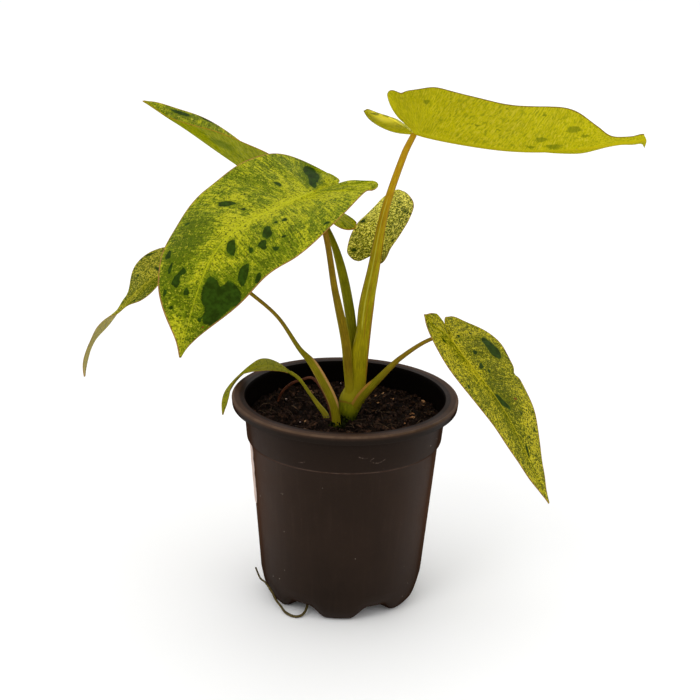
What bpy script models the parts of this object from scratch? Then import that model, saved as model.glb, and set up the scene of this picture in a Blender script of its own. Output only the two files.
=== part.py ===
"""A young philodendron with seven marbled leaves, in a black plastic nursery pot.

Sizes below are in millimetres, and MM turns them into Blender's metres.
+Z is up, the origin is the middle of the pot's underside, and -Y faces the viewer.
"""

import math

import bmesh
import bpy
from mathutils import Matrix, Vector
from mathutils.bvhtree import BVHTree

MM = 0.001
GAP = 0.3  # clearance between pieces that touch

# The pot: half of its outer profile, as (radius, height), from the underside's middle
# up to the lip. Its underside is lifted between the feet.
POT_HEIGHT = 113.0
RIM_RADIUS = 60.0
UNDERSIDE = ((20.0, 0.0), (26.0, 0.0), (31.0, 0.0), (36.6, 0.0))
CORNER = ((38.6, 0.8), (40.4, 2.8), (41.8, 5.8), (42.8, 9.6), (43.5, 14.0))
SHOULDER = (50.1, 89.0)
COLLAR = ((51.8, 90.0), (53.2, 105.0))
LIP_THICKNESS = 1.2
LIP_DROP = 4.6
WALL = 1.2
POT_SEGMENTS = 48
FEET = 6
FOOT_LIFT = 6.0
FOOT_TURN = -1.2  # degrees from straight ahead to the front foot
LIFT_FADE_HEIGHT = 15.0
LIFT_RADII = (20.0, 31.0)
ARCH_ANGLES = (9.0, 18.0)  # where the lift is full and where it ends, from the arch's middle
DRAIN_RADIUS = 3.0
DRAIN_CIRCLE = 33.0

# The soil
SOIL_TOP = 101.5
SOIL_EDGE = 100.4
SOIL_RINGS = 7
SOIL_LUMP = 0.8
SOIL_GAP = 0.7

# The blank label on the pot's left side
LABEL_HEIGHTS = (54.0, 88.0)
LABEL_ANGLES = (120.0, 194.0)
LABEL_THICKNESS = 0.4
LABEL_COLUMNS = 10

# Blades
BLADE_THICKNESS = 0.7
RIB_HEIGHT = 0.9
BLADE_ROWS = 16
BLADE_COLUMNS = (0.0, 0.05, 0.28, 0.52, 0.76, 1.0)
VEIN_SWEEP = 1.35
MIDRIB_STEPS = 90

# Outlines of half a blade: (share of half width, share of length). A share of
# length under 0 is counted in lobe lengths. The last point is the drip tip.
BROAD = (
    (0.16, -0.45), (0.34, -0.95), (0.52, -1.0), (0.74, -0.78), (0.93, -0.30), (1.0, 0.06),
    (0.99, 0.22), (0.90, 0.40), (0.74, 0.56), (0.53, 0.71), (0.31, 0.84), (0.12, 0.94), (0.02, 1.0),
)
NARROW_SINUS = (
    (0.05, -0.45), (0.14, -0.85), (0.32, -1.02), (0.62, -0.86), (0.90, -0.36), (1.0, 0.06),
    (0.99, 0.22), (0.90, 0.40), (0.74, 0.56), (0.53, 0.71), (0.31, 0.84), (0.12, 0.94), (0.02, 1.0),
)
SHORT_LOBED = (
    (0.16, -0.20), (0.34, -0.42), (0.52, -0.45), (0.74, -0.36), (0.93, -0.14), (1.0, 0.06),
    (0.99, 0.22), (0.90, 0.40), (0.74, 0.56), (0.53, 0.71), (0.31, 0.84), (0.12, 0.94), (0.02, 1.0),
)
NARROW_TAIL = (
    (0.16, -0.45), (0.34, -0.95), (0.52, -1.0), (0.74, -0.78), (0.93, -0.30), (1.0, 0.06),
    (0.96, 0.20), (0.78, 0.34), (0.50, 0.44), (0.33, 0.53), (0.24, 0.64), (0.11, 0.75), (0.08, 0.90), (0.02, 1.0),
)
LANCE = (
    (0.14, 0.0), (0.22, 0.03), (0.34, 0.08), (0.52, 0.15), (0.74, 0.24), (0.92, 0.34),
    (1.0, 0.44), (0.97, 0.54), (0.84, 0.64), (0.62, 0.74), (0.38, 0.84), (0.16, 0.93), (0.03, 1.0),
)
LONG_TIPPED = (
    (0.16, -0.45), (0.34, -0.95), (0.52, -1.0), (0.74, -0.78), (0.93, -0.30), (1.0, 0.06),
    (0.97, 0.24), (0.86, 0.42), (0.80, 0.56), (0.66, 0.68), (0.36, 0.78), (0.12, 0.86), (0.05, 1.0),
)

# Each blade grows from where its petiole meets it. The rows of five values are
# read at the lobes' ends, at the petiole, at a third and two thirds, and at the tip.
# Angles are in degrees. Heading runs anticlockwise from +X, roll lifts the right
# half, a fold lifts its half at the midrib, and a curl lifts it further by the margin.
LEAVES = {
    "front": dict(
        base=(-18, -16, 227), length=118, half_width=41, lobe=25, outline=BROAD, outline_right=NARROW_SINUS,
        heading=(210, 217, 216, 235, 244), pitch=(13, -10, -20, -57, -67), roll=(4, 10, 18, 21, 61),
        fold_left=(25, 23, 6, -5, -29), fold_right=(-11, 1, -4, -6, 20),
        curl_left=(-11, -6, -5, 4, 1), curl_right=(28, 13, -6, -23, -8),
    ),
    "tall": dict(
        base=(32, 12, 252), length=121, half_width=38, lobe=25, outline=LONG_TIPPED,
        heading=(0, 3, 0, 1, -4), pitch=(-43, -16, -6, 6, 16), roll=(32, 30, 30, 38, 47),
        fold_left=(20, 25, 25, 22, 13), fold_right=(19, 22, 22, 26, 23),
        curl_left=(-22, -18, -7, -1, 1), curl_right=(-9, -2, -3, -3, 1),
    ),
    "back": dict(
        base=(-20.9, 32, 209.6), length=120, half_width=31, lobe=27, outline=BROAD, outline_right=SHORT_LOBED,
        heading=(171, 160, 150, 147, 145), pitch=(-3, 11, 22, 21, 23), roll=(3, -21, -23, -14, -7),
        fold_left=(-14, 18, 24, 20, 20), fold_right=(3, 11, 15, 20, 27),
        curl_left=(-25, -4, 3, 2, 0), curl_right=(0, -2, -4, -3, 1),
    ),
    "new": dict(
        base=(13, 14, 187), length=53, half_width=18, lobe=7, outline=BROAD,
        heading=(47, 58, 68, 80, 71), pitch=(40, 53, 43, 19, -8), roll=(5, 12, 12, 12, 5),
        fold_left=(8, 5, -2, -13, -6), fold_right=(13, 17, 10, -1, -2),
        curl_left=(3, 4, 1, -4, -3), curl_right=(9, 11, 7, 1, -1),
    ),
    "left": dict(
        base=(-80, -4, 184), length=90, half_width=23, lobe=12, outline=NARROW_TAIL,
        heading=(182, 184, 185, 178, 188), pitch=(-1, -10, -40, -53, -92), roll=(1, -8, -5, -47, -71),
        fold_left=(44, 22, -7, -24, -21), fold_right=(42, 25, 26, 12, 16),
        curl_left=(-3, -5, -6, -14, -13), curl_right=(-4, -7, -1, -4, -4),
    ),
    "right": dict(
        base=(53.1, -19.5, 153.2), length=99.5, half_width=33, lobe=13, outline=NARROW_SINUS,
        heading=(-46, -51, -42, -45, -30), pitch=(-43, -33, -38, -53, -58), roll=(-2, -4, -8, -7, -12),
        fold_left=(-15, -11, -14, -17, -22), fold_right=(38, 40, 32, 30, 21),
        curl_left=(-9, -8, -8, -9, -5), curl_right=(5, -3, -8, 6, -6),
    ),
    "small": dict(
        base=(-30.2, 6.2, 122.9), length=58.5, half_width=8.5, lobe=1, outline=LANCE,
        heading=(164, 161, 152, 168, 201), pitch=(56, 25, -21, -59, -86), roll=(-6, 10, 17, 20, 43),
        fold_left=(-8, -12, 9, 15, 6), fold_right=(-13, -9, -1, -7, 13),
        curl_left=(1, 1, 2, -1, -1), curl_right=(-7, -5, -3, -9, -3),
    ),
}

# Each petiole's route, which is cut back to just clear of what it grows from and
# of its blade, and its radii at the route's points and at the blade
PETIOLES = {
    "front": dict(
        route=((3.0, -6.2, 111), (1.2, -6.2, 130), (-0.6, -6.2, 145.5), (-6.6, -8.4, 173), (-11.2, -11.4, 200)),
        radii=(2.2, 2.3, 2.3, 1.8, 1.5, 1.4),
    ),
    "tall": dict(
        route=(
            (7.8, -5.4, 111), (8.1, -5, 133), (9.3, -3, 160), (12.8, 0, 182), (17.9, 3, 213), (26.7, 7, 241.5),
        ),
        radii=(2.2, 3.0, 3.8, 3.1, 2.0, 1.7, 1.5),
    ),
    "back": dict(
        route=((3.0, -1.2, 111), (3.3, 2, 140), (1.1, 5, 158), (-3.6, 10, 178.7), (-9.4, 17, 194)),
        radii=(2.0, 2.4, 2.6, 2.4, 1.6, 1.5),
    ),
    "new": dict(
        route=((7.8, -0.4, 111), (9, 3.2, 134), (10.5, 5.4, 160)),
        radii=(2.0, 2.0, 1.9, 1.3),
    ),
    "left": dict(
        route=(
            (-3.8, -18, 102), (-5.9, -17, 114), (-11.4, -14.6, 125), (-17.8, -12, 134.8), (-24.2, -9.8, 141.3),
            (-35.7, -6.4, 157), (-48.8, -4.4, 168), (-63.4, -4, 178.4),
        ),
        radii=(2.2, 2.3, 2.3, 2.0, 1.3, 1.0, 1.0, 1.0, 1.2),
    ),
    "right": dict(
        route=((4.6, -8.4, 108), (9.4, -10.6, 116.8), (18.9, -12.4, 128.9), (28.3, -14.3, 139.6), (43.1, -17, 151)),
        radii=(2.3, 2.3, 1.8, 1.3, 1.0, 1.1),
    ),
    "small": dict(
        route=((-8.6, -4, 92), (-9.9, -4, 102), (-14.6, -2, 108), (-18.9, 0.5, 113), (-24.7, 4.2, 119.6)),
        radii=(1.2, 1.6, 1.2, 0.9, 0.9, 0.9),
    ),
}
TUBE_SIDES = 8
TUBE_RINGS = 14
ROUTE_SAMPLES = 400

# The two stems and the two loose roots, as routes and radii
MAIN_STEM = dict(
    route=((0.8, -8.5, 80), (1.2, -8, 101), (2.0, -7, 108.5), (4.8, -3.8, 114)), radii=(3.0, 3.2, 4.8, 5.2)
)
OFFSHOOT = dict(route=((-3.4, -19, 84), (-3.6, -18.5, 96), (-3.8, -18, 103.5)), radii=(2.2, 2.7, 2.5))
AERIAL_ROOT = dict(
    route=((-5.5, -12, 92), (-7, -11, 106), (-11, -7, 116), (-17, 0, 121.5), (-23, 7.5, 118), (-29, 11.5, 114),
           (-34, 14, 108), (-36.6, 16, 100), (-37, 17, 92)),
    radii=(0.8, 0.8, 0.8, 0.8, 0.8, 0.8, 0.7, 0.6, 0.6),
)
DRAIN_ROOT = dict(
    route=(
        (-16.8, -28.6, 6.6), (-17.4, -32.2, 3.4), (-19.6, -36.4, 1.3), (-23.4, -38, 1.0), (-28.4, -34.4, 1.2),
        (-31.5, -28.8, 2.1), (-34.3, -26.2, 4.6), (-36.5, -24.4, 8.3), (-40.2, -19.4, 11.0), (-43.4, -13, 10.4),
        (-46.4, -6, 13.4),
    ),
    radii=(0.6, 0.7, 0.7, 0.7, 0.7, 0.6, 0.6, 0.6, 0.5, 0.5, 0.45),
)

POT_COLOUR = (0.030, 0.024, 0.021)
SOIL_COLOUR = (0.022, 0.014, 0.010)
LABEL_COLOUR = (0.80, 0.74, 0.68)
STEM_COLOUR = (0.20, 0.24, 0.03)
ROOT_COLOUR = (0.16, 0.05, 0.025)
DRAIN_ROOT_COLOUR = (0.13, 0.09, 0.03)
BLADE_COLOURS = {
    "front": (0.33, 0.42, 0.045), "tall": (0.34, 0.36, 0.05), "back": (0.20, 0.28, 0.03),
    "new": (0.30, 0.38, 0.08), "left": (0.28, 0.34, 0.05), "right": (0.36, 0.40, 0.04),
    "small": (0.26, 0.34, 0.04),
}
PETIOLE_COLOURS = {
    "front": (0.24, 0.17, 0.02), "tall": (0.30, 0.26, 0.03), "back": (0.12, 0.17, 0.012),
    "new": (0.10, 0.12, 0.015), "left": (0.26, 0.22, 0.04), "right": (0.24, 0.17, 0.02),
    "small": (0.30, 0.24, 0.05),
}


def smooth_value(stops, values, at):
    """The value at a place along smoothly joined stops."""
    if at <= stops[0]:
        return values[0]
    if at >= stops[-1]:
        return values[-1]
    count = len(stops)
    i = 0
    while at > stops[i + 1]:
        i += 1
    slopes = []
    for k in (i, i + 1):
        before, after = max(k - 1, 0), min(k + 1, count - 1)
        slopes.append((values[after] - values[before]) / (stops[after] - stops[before]))
    span = stops[i + 1] - stops[i]
    t = (at - stops[i]) / span
    return (
        values[i] * (1 + 2 * t) * (1 - t) ** 2
        + values[i + 1] * t * t * (3 - 2 * t)
        + slopes[0] * span * t * (1 - t) ** 2
        - slopes[1] * span * t * t * (1 - t)
    )


class Blade:
    """Maps a flat blade, in millimetres across and along its midrib, into its grown shape."""

    def __init__(self, leaf):
        self.leaf = leaf
        self.length = leaf["length"]
        self.lobe = leaf["lobe"]
        self.stops = [-self.lobe, 0.0, self.length / 3, self.length * 2 / 3, self.length]
        self.step = (self.length + self.lobe) / MIDRIB_STEPS
        points = [Vector((0, 0, 0))]
        for i in range(MIDRIB_STEPS):
            points.append(points[-1] + self.axes(-self.lobe + (i + 0.5) * self.step)[0] * self.step)
        self.points = points
        offset = Vector(leaf["base"]) - self.midrib(0.0)
        self.points = [p + offset for p in points]

    def value(self, name, along):
        return smooth_value(self.stops, self.leaf[name], along)

    def midrib(self, along):
        place = (along + self.lobe) / self.step
        i = min(max(int(place), 0), MIDRIB_STEPS - 1)
        return self.points[i].lerp(self.points[i + 1], place - i)

    def axes(self, along):
        """Unit vectors along the midrib, to the right and up from the blade."""
        heading = math.radians(self.value("heading", along))
        pitch = math.radians(self.value("pitch", along))
        roll = math.radians(self.value("roll", along))
        forward = Vector((math.cos(pitch) * math.cos(heading), math.cos(pitch) * math.sin(heading), math.sin(pitch)))
        level = Vector((math.sin(heading), -math.cos(heading), 0))
        above = level.cross(forward)
        right = level * math.cos(roll) + above * math.sin(roll)
        return forward, right, right.cross(forward)

    def at(self, across, along):
        """The point of the upper face, and the way out of it."""
        forward, right, up = self.axes(along)
        side, name = (right, "right") if across >= 0 else (-right, "left")
        distance = abs(across)
        fold = math.radians(self.value("fold_" + name, along))
        bend = math.radians(self.value("curl_" + name, along)) / self.leaf["half_width"]
        angle = fold + bend * distance
        middle = fold + bend * distance / 2
        point = self.midrib(along) + (side * math.cos(middle) + up * math.sin(middle)) * distance
        if distance == 0:
            return point, up
        return point, (up * math.cos(angle) - side * math.sin(angle)).normalized()

    def margin(self, share, side):
        """A flat point of a half's margin, from beside the sinus round the lobe to the tip. Side is -1 or 1."""
        marks = self.leaf["outline"]
        if side > 0:
            marks = self.leaf.get("outline_right", marks)
        stops = list(range(len(marks)))
        at = share * (len(marks) - 1)
        lengths = [m[1] * (self.lobe if m[1] < 0 else self.length) for m in marks]
        across = smooth_value(stops, [m[0] for m in marks], at) * self.leaf["half_width"]
        return across, smooth_value(stops, lengths, at)

    def vein_foot(self, share, along):
        """Where the vein that ends at this place of the margin leaves the midrib."""
        forward = max(along, 0) / self.length
        return self.length * (0.03 * share * (1 - forward) + forward**VEIN_SWEEP)


def new_mesh_object(name, verts, faces, colour, roughness=0.55):
    """An object named after its sub-part, with a material of its own, from millimetres."""
    bm = bmesh.new()
    made = [bm.verts.new(Vector(v) * MM) for v in verts]
    for face in faces:
        bm.faces.new([made[i] for i in face])
    bmesh.ops.recalc_face_normals(bm, faces=bm.faces)
    bmesh.ops.triangulate(bm, faces=[f for f in bm.faces if len(f.verts) > 3])
    mesh = bpy.data.meshes.new(name)
    bm.to_mesh(mesh)
    bm.free()
    material = bpy.data.materials.new(name)
    material.use_nodes = True
    shader = material.node_tree.nodes["Principled BSDF"]
    shader.inputs["Base Color"].default_value = (*colour, 1)
    shader.inputs["Roughness"].default_value = roughness
    mesh.materials.append(material)
    obj = bpy.data.objects.new(name, mesh)
    bpy.context.scene.collection.objects.link(obj)
    return obj


def cut_holes(obj, cutters):
    """Cuts hidden objects out of obj by an exact Boolean."""
    for cutter in cutters:
        cutter.hide_render = True
        cutter.display_type = "WIRE"
        modifier = obj.modifiers.new("Hole " + cutter.name, "BOOLEAN")
        modifier.operation = "DIFFERENCE"
        modifier.solver = "EXACT"
        modifier.object = cutter


def revolve(profile, segments, lifted):
    """Vertices and quads of a closed profile turned about Z. Both of its ends lie on the axis."""
    verts = [(0, 0, profile[0][1])]
    for radius, height in profile[1:-1]:
        for k in range(segments):
            angle = math.radians(-90 + FOOT_TURN + 360 * k / segments)
            verts.append(lifted(radius * math.cos(angle), radius * math.sin(angle), height))
    verts.append((0, 0, profile[-1][1]))
    rings = len(profile) - 2
    faces = []
    for k in range(segments):
        after = (k + 1) % segments
        faces.append((0, 1 + after, 1 + k))
        for ring in range(rings - 1):
            low, high = 1 + ring * segments, 1 + (ring + 1) * segments
            faces.append((low + k, low + after, high + after, high + k))
        last = 1 + (rings - 1) * segments
        faces.append((last + k, last + after, len(verts) - 1))
    return verts, faces


def arch_lift(x, y, z):
    """Lifts a point of the pot's bottom where it lies in an arch between two feet."""
    radius = math.hypot(x, y)
    angle = math.degrees(math.atan2(y, x)) + 90 - FOOT_TURN
    spacing = 360 / FEET
    from_arch = abs((angle % spacing) - spacing / 2)
    share = min(max((ARCH_ANGLES[1] - from_arch) / (ARCH_ANGLES[1] - ARCH_ANGLES[0]), 0), 1)
    inward = min(max((radius - LIFT_RADII[0]) / (LIFT_RADII[1] - LIFT_RADII[0]), 0), 1)
    fade = max(1 - z / LIFT_FADE_HEIGHT, 0)
    return x, y, z + FOOT_LIFT * fade * share * share * (3 - 2 * share) * inward * inward * (3 - 2 * inward)


def outer_profile():
    return [(0.0, 0.0), *UNDERSIDE, *CORNER, SHOULDER, *COLLAR]


def inset(profile, distance):
    """The profile moved inwards by a wall's thickness."""
    moved = [(0.0, distance)]
    for before, here, after in zip(profile, profile[1:], profile[2:]):
        ways = []
        for start, end in ((before, here), (here, after)):
            dx, dz = end[0] - start[0], end[1] - start[1]
            size = math.hypot(dx, dz)
            ways.append((-dz / size, dx / size))
        nx, nz = ways[0][0] + ways[1][0], ways[0][1] + ways[1][1]
        scale = distance / (1 + ways[0][0] * ways[1][0] + ways[0][1] * ways[1][1])
        moved.append((here[0] + nx * scale, here[1] + nz * scale))
    return moved


def inner_profile(distance):
    """The outer profile carried on to the lip's top and moved inwards."""
    return inset([*outer_profile(), (COLLAR[-1][0] + 0.6, POT_HEIGHT)], distance)


def make_pot():
    outer = outer_profile()
    inner = inner_profile(WALL)
    top, drop = POT_HEIGHT, POT_HEIGHT - LIP_DROP
    inside, outside = inner[-1][0], RIM_RADIUS
    lip = [
        (inside + WALL + 0.2, top - 2.4), (inside + WALL + 0.9, top - LIP_THICKNESS),
        (outside - 2.0, top - LIP_THICKNESS - 0.1), (outside - 1.2, top - 2.0), (outside - 1.3, drop),
        (outside - 0.4, drop - 0.1), (outside, top - 1.0), (outside - 0.4, top - 0.3), (outside - 1.2, top),
        (inside + 1.4, top - 0.1), (inside + 0.5, top - 0.8), (inside + 0.1, top - 2.4),
    ]
    verts, faces = revolve([*outer, *lip, *reversed(inner)], POT_SEGMENTS, arch_lift)
    pot = new_mesh_object("pot", verts, faces, POT_COLOUR, 0.42)
    drains = []
    for k in range(FEET):
        angle = math.radians(-90 + FOOT_TURN + 360 * (k + 0.5) / FEET)
        x, y = DRAIN_CIRCLE * math.cos(angle), DRAIN_CIRCLE * math.sin(angle)
        drains.append(make_rod("drain_%d" % k, (x, y, -5), (x, y, 13), DRAIN_RADIUS, 16, POT_COLOUR))
    cut_holes(pot, drains)
    return pot


def make_rod(name, start, end, radius, sides, colour):
    verts, faces = tube([Vector(start), Vector(end)], [radius, radius], sides)
    return new_mesh_object(name, verts, faces, colour)


def soil_height(x, y):
    """The soil's lumpy top, a little lower by the pot's wall."""
    waves = math.sin(x * 0.19 + 1.0) * math.cos(y * 0.16) + 0.6 * math.sin(x * 0.41 - y * 0.33 + 2.0)
    waves += 0.5 * math.cos(x * 0.27 + y * 0.52)
    return SOIL_TOP + SOIL_LUMP * waves - 0.6 * (math.hypot(x, y) / 50) ** 4


def make_soil():
    edge = inner_profile(WALL + SOIL_GAP)
    side = [p for p in edge if p[1] < SOIL_EDGE - 1]
    above = next(p for p in edge if p[1] >= SOIL_EDGE - 1)
    share = (SOIL_EDGE - side[-1][1]) / (above[1] - side[-1][1])
    rim = side[-1][0] + (above[0] - side[-1][0]) * share
    profile = side + [(rim, SOIL_EDGE)]
    profile += [((rim - 0.6) * (SOIL_RINGS - i) / SOIL_RINGS, SOIL_TOP) for i in range(SOIL_RINGS)]

    def shaped(x, y, z):
        if z == SOIL_TOP:
            return x, y, soil_height(x, y)
        return arch_lift(x, y, z)

    verts, faces = revolve(profile + [(0.0, soil_height(0, 0))], POT_SEGMENTS, shaped)
    return new_mesh_object("soil", verts, faces, SOIL_COLOUR, 0.95)


def tube(path, radii, sides):
    """Vertices and faces of a closed tube along a path."""
    verts, faces = [], []
    forward = (path[1] - path[0]).normalized()
    side = forward.orthogonal().normalized()
    for i, (point, radius) in enumerate(zip(path, radii)):
        before, after = path[max(i - 1, 0)], path[min(i + 1, len(path) - 1)]
        turned = (after - before).normalized()
        side = (forward.rotation_difference(turned).to_matrix() @ side).normalized()
        side = (side - turned * side.dot(turned)).normalized()
        forward = turned
        other = forward.cross(side)
        for k in range(sides):
            angle = 2 * math.pi * k / sides
            verts.append(point + (side * math.cos(angle) + other * math.sin(angle)) * radius)
    for i in range(len(path) - 1):
        for k in range(sides):
            after = (k + 1) % sides
            low, high = i * sides, (i + 1) * sides
            faces.append((low + k, low + after, high + after, high + k))
    faces.append(tuple(reversed(range(sides))))
    last = (len(path) - 1) * sides
    faces.append(tuple(range(last, last + sides)))
    return verts, faces


class Route:
    """A smooth curve through points, with a radius that changes along it."""

    def __init__(self, points, radii):
        self.points = [Vector(p) for p in points]
        self.radii = radii
        self.stops = [0.0]
        for before, after in zip(self.points, self.points[1:]):
            self.stops.append(self.stops[-1] + (after - before).length)

    def at(self, share):
        place = self.stops[-1] * share
        return Vector([smooth_value(self.stops, [p[axis] for p in self.points], place) for axis in range(3)])

    def radius(self, share):
        return smooth_value(self.stops, self.radii, self.stops[-1] * share)

    def mesh(self, start=0.0, end=1.0, rings=TUBE_RINGS, sides=TUBE_SIDES, grow=0.0):
        shares = [start + (end - start) * i / (rings - 1) for i in range(rings)]
        return tube([self.at(s) for s in shares], [self.radius(s) + grow for s in shares], sides)


def surface_tree(obj):
    """A search tree of an object's mesh, in millimetres."""
    mesh = obj.data
    verts = [v.co / MM for v in mesh.vertices]
    return BVHTree.FromPolygons(verts, [tuple(p.vertices) for p in mesh.polygons])


def is_clear(tree, point, gap):
    nearest, normal, _, distance = tree.find_nearest(point)
    return distance >= gap and (point - nearest).dot(normal) > 0


def trimmed_ends(route, parent, blade):
    """The shares of a route between which its tube is clear of its parent and of its blade."""
    def ring(share):
        point, radius = route.at(share), route.radius(share)
        forward = (route.at(min(share + 0.002, 1)) - route.at(max(share - 0.002, 0))).normalized()
        side = forward.orthogonal().normalized()
        other = forward.cross(side)
        around = [(side * math.cos(a) + other * math.sin(a)) * radius for a in [i * math.pi / 8 for i in range(16)]]
        return [point] + [point + way for way in around] + [point + way * 0.5 for way in around[::4]]

    first, last = 0, ROUTE_SAMPLES
    if parent is not None:
        while not all(is_clear(parent, p, GAP) for p in ring(first / ROUTE_SAMPLES)):
            first += 1
    middle = ROUTE_SAMPLES // 2
    clear = middle
    while clear < last and all(is_distant(blade, p, GAP + 0.05) for p in ring((clear + 1) / ROUTE_SAMPLES)):
        clear += 1
    return first / ROUTE_SAMPLES, clear / ROUTE_SAMPLES


def is_distant(tree, point, gap):
    return tree.find_nearest(point)[3] >= gap


def make_blade(name, leaf, colour):
    blade = Blade(leaf)
    taper_end = blade.length
    columns = len(BLADE_COLUMNS)
    tops, bottoms = [], []
    for side in (-1, 1):
        upper, lower = [], []
        for i in range(BLADE_ROWS + 1):
            share = i / BLADE_ROWS
            across, along = blade.margin(share, side)
            foot = blade.vein_foot(share, along)
            row_up, row_down = [], []
            for j, out in enumerate(BLADE_COLUMNS):
                if j == 0 and side == 1:
                    row_up.append(tops[0][i][0])
                    row_down.append(bottoms[0][i][0])
                    continue
                reach = foot + (along - foot) * out
                point, normal = blade.at(side * across * out, reach)
                depth = BLADE_THICKNESS
                if j == 0:
                    depth += RIB_HEIGHT * (1 - reach / taper_end) ** 0.5
                row_up.append(point)
                row_down.append(point - normal * depth)
            upper.append(row_up)
            lower.append(row_down)
        tops.append(upper)
        bottoms.append(lower)
    verts, faces, index = [], [], {}

    def number(face, side, i, j):
        key = (face, 0 if j == 0 else side, i, j)
        if key not in index:
            index[key] = len(verts)
            verts.append((tops if face == 0 else bottoms)[side][i][j])
        return index[key]

    for side in (0, 1):
        for i in range(BLADE_ROWS):
            for j in range(columns - 1):
                for face in (0, 1):
                    corners = [number(face, side, i + a, j + b) for a, b in ((0, 0), (0, 1), (1, 1), (1, 0))]
                    if face != side:
                        corners.reverse()
                        faces.append((corners[0], corners[2], corners[3]))
                        faces.append((corners[0], corners[1], corners[2]))
                    else:
                        faces.append((corners[1], corners[2], corners[3]))
                        faces.append((corners[1], corners[3], corners[0]))
    edge = [(0, 0, j) for j in range(columns - 1)] + [(0, i, columns - 1) for i in range(BLADE_ROWS)]
    edge += [(0, BLADE_ROWS, j) for j in range(columns - 1, 0, -1)]
    edge += [(1, BLADE_ROWS, j) for j in range(columns - 1)] + [(1, i, columns - 1) for i in range(BLADE_ROWS, 0, -1)]
    edge += [(1, 0, j) for j in range(columns - 1, 0, -1)]
    for here, after in zip(edge, edge[1:] + edge[:1]):
        a, b = number(0, *here), number(0, *after)
        c, d = number(1, *after), number(1, *here)
        faces.append((a, b, c))
        faces.append((a, c, d))
    return new_mesh_object("blade_" + name, verts, faces, colour, 0.38)


def make_label():
    """A blank label bent round the pot's side, just off it."""
    outer = outer_profile()
    corner, shoulder = outer[-4], outer[-3]
    verts = []
    low, high = LABEL_HEIGHTS
    for i in range(LABEL_COLUMNS + 1):
        share = i / LABEL_COLUMNS
        angle = math.radians(LABEL_ANGLES[0] + (LABEL_ANGLES[1] - LABEL_ANGLES[0]) * share)
        trim = 3.0 * max(abs(share - 0.5) * 2 - 0.8, 0) * 5
        for height in (low + trim, high - trim):
            wall = corner[0] + (shoulder[0] - corner[0]) * (height - corner[1]) / (shoulder[1] - corner[1])
            for off in (GAP, GAP + LABEL_THICKNESS):
                verts.append(((wall + off) * math.cos(angle), (wall + off) * math.sin(angle), height))
    faces = []
    for i in range(LABEL_COLUMNS):
        a, b = 4 * i, 4 * (i + 1)
        faces += [(a, b, b + 2, a + 2), (a + 1, a + 3, b + 3, b + 1), (a, a + 1, b + 1, b), (a + 2, b + 2, b + 3, a + 3)]
    end = 4 * LABEL_COLUMNS
    faces += [(0, 2, 3, 1), (end, end + 1, end + 3, end + 2)]
    return new_mesh_object("label", verts, faces, LABEL_COLOUR, 0.5)


def make_route_object(name, source, colour, rings, sides, grow=0.0, roughness=0.6):
    verts, faces = Route(source["route"], source["radii"]).mesh(rings=rings, sides=sides, grow=grow)
    return new_mesh_object(name, verts, faces, colour, roughness)


def main():
    for obj in list(bpy.data.objects):
        bpy.data.objects.remove(obj, do_unlink=True)
    make_pot()
    soil = make_soil()
    make_label()
    stem = make_route_object("main_stem", MAIN_STEM, STEM_COLOUR, 10, 14)
    offshoot = make_route_object("offshoot_stem", OFFSHOOT, STEM_COLOUR, 6, 12)
    make_route_object("aerial_root", AERIAL_ROOT, ROOT_COLOUR, 16, 6)
    make_route_object("drain_root", DRAIN_ROOT, DRAIN_ROOT_COLOUR, 18, 6)
    holes = [
        make_route_object("hole_main", MAIN_STEM, SOIL_COLOUR, 10, 14, GAP),
        make_route_object("hole_offshoot", OFFSHOOT, SOIL_COLOUR, 6, 12, GAP),
        make_route_object("hole_root", AERIAL_ROOT, SOIL_COLOUR, 16, 6, GAP),
    ]
    parents = {"left": surface_tree(offshoot), "small": None}
    stem_tree = surface_tree(stem)
    for name, leaf in LEAVES.items():
        blade = make_blade(name, leaf, BLADE_COLOURS[name])
        petiole = PETIOLES[name]
        route = Route([*petiole["route"], leaf["base"]], petiole["radii"])
        start, end = trimmed_ends(route, parents.get(name, stem_tree), surface_tree(blade))
        verts, faces = route.mesh(start, end)
        new_mesh_object("petiole_" + name, verts, faces, PETIOLE_COLOURS[name], 0.45)
        if name == "small":
            verts, faces = route.mesh(start, end, grow=GAP)
            holes.append(new_mesh_object("hole_small", verts, faces, SOIL_COLOUR))
    cut_holes(soil, holes)


main()
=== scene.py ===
import math

import bmesh
import bpy
import numpy as np
from mathutils import Matrix, Vector


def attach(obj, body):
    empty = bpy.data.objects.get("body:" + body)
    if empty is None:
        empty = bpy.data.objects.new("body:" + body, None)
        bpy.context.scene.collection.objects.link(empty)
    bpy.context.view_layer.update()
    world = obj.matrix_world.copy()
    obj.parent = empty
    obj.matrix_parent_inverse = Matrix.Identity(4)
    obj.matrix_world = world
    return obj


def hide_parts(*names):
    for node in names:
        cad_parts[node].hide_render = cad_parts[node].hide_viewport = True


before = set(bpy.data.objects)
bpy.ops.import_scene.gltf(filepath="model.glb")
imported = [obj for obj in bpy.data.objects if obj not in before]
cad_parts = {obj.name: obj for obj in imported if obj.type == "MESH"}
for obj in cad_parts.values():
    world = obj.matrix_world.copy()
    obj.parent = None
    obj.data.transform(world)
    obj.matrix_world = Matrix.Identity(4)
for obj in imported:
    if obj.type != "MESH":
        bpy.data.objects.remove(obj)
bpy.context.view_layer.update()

MM = 0.001  # sizes below are in millimetres, in the CAD's frame: +Z up, -Y towards the viewer
BODY = "root"
VIEWER = np.array([0.0, -0.94, 0.33])  # the way from the plant to the camera

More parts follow.
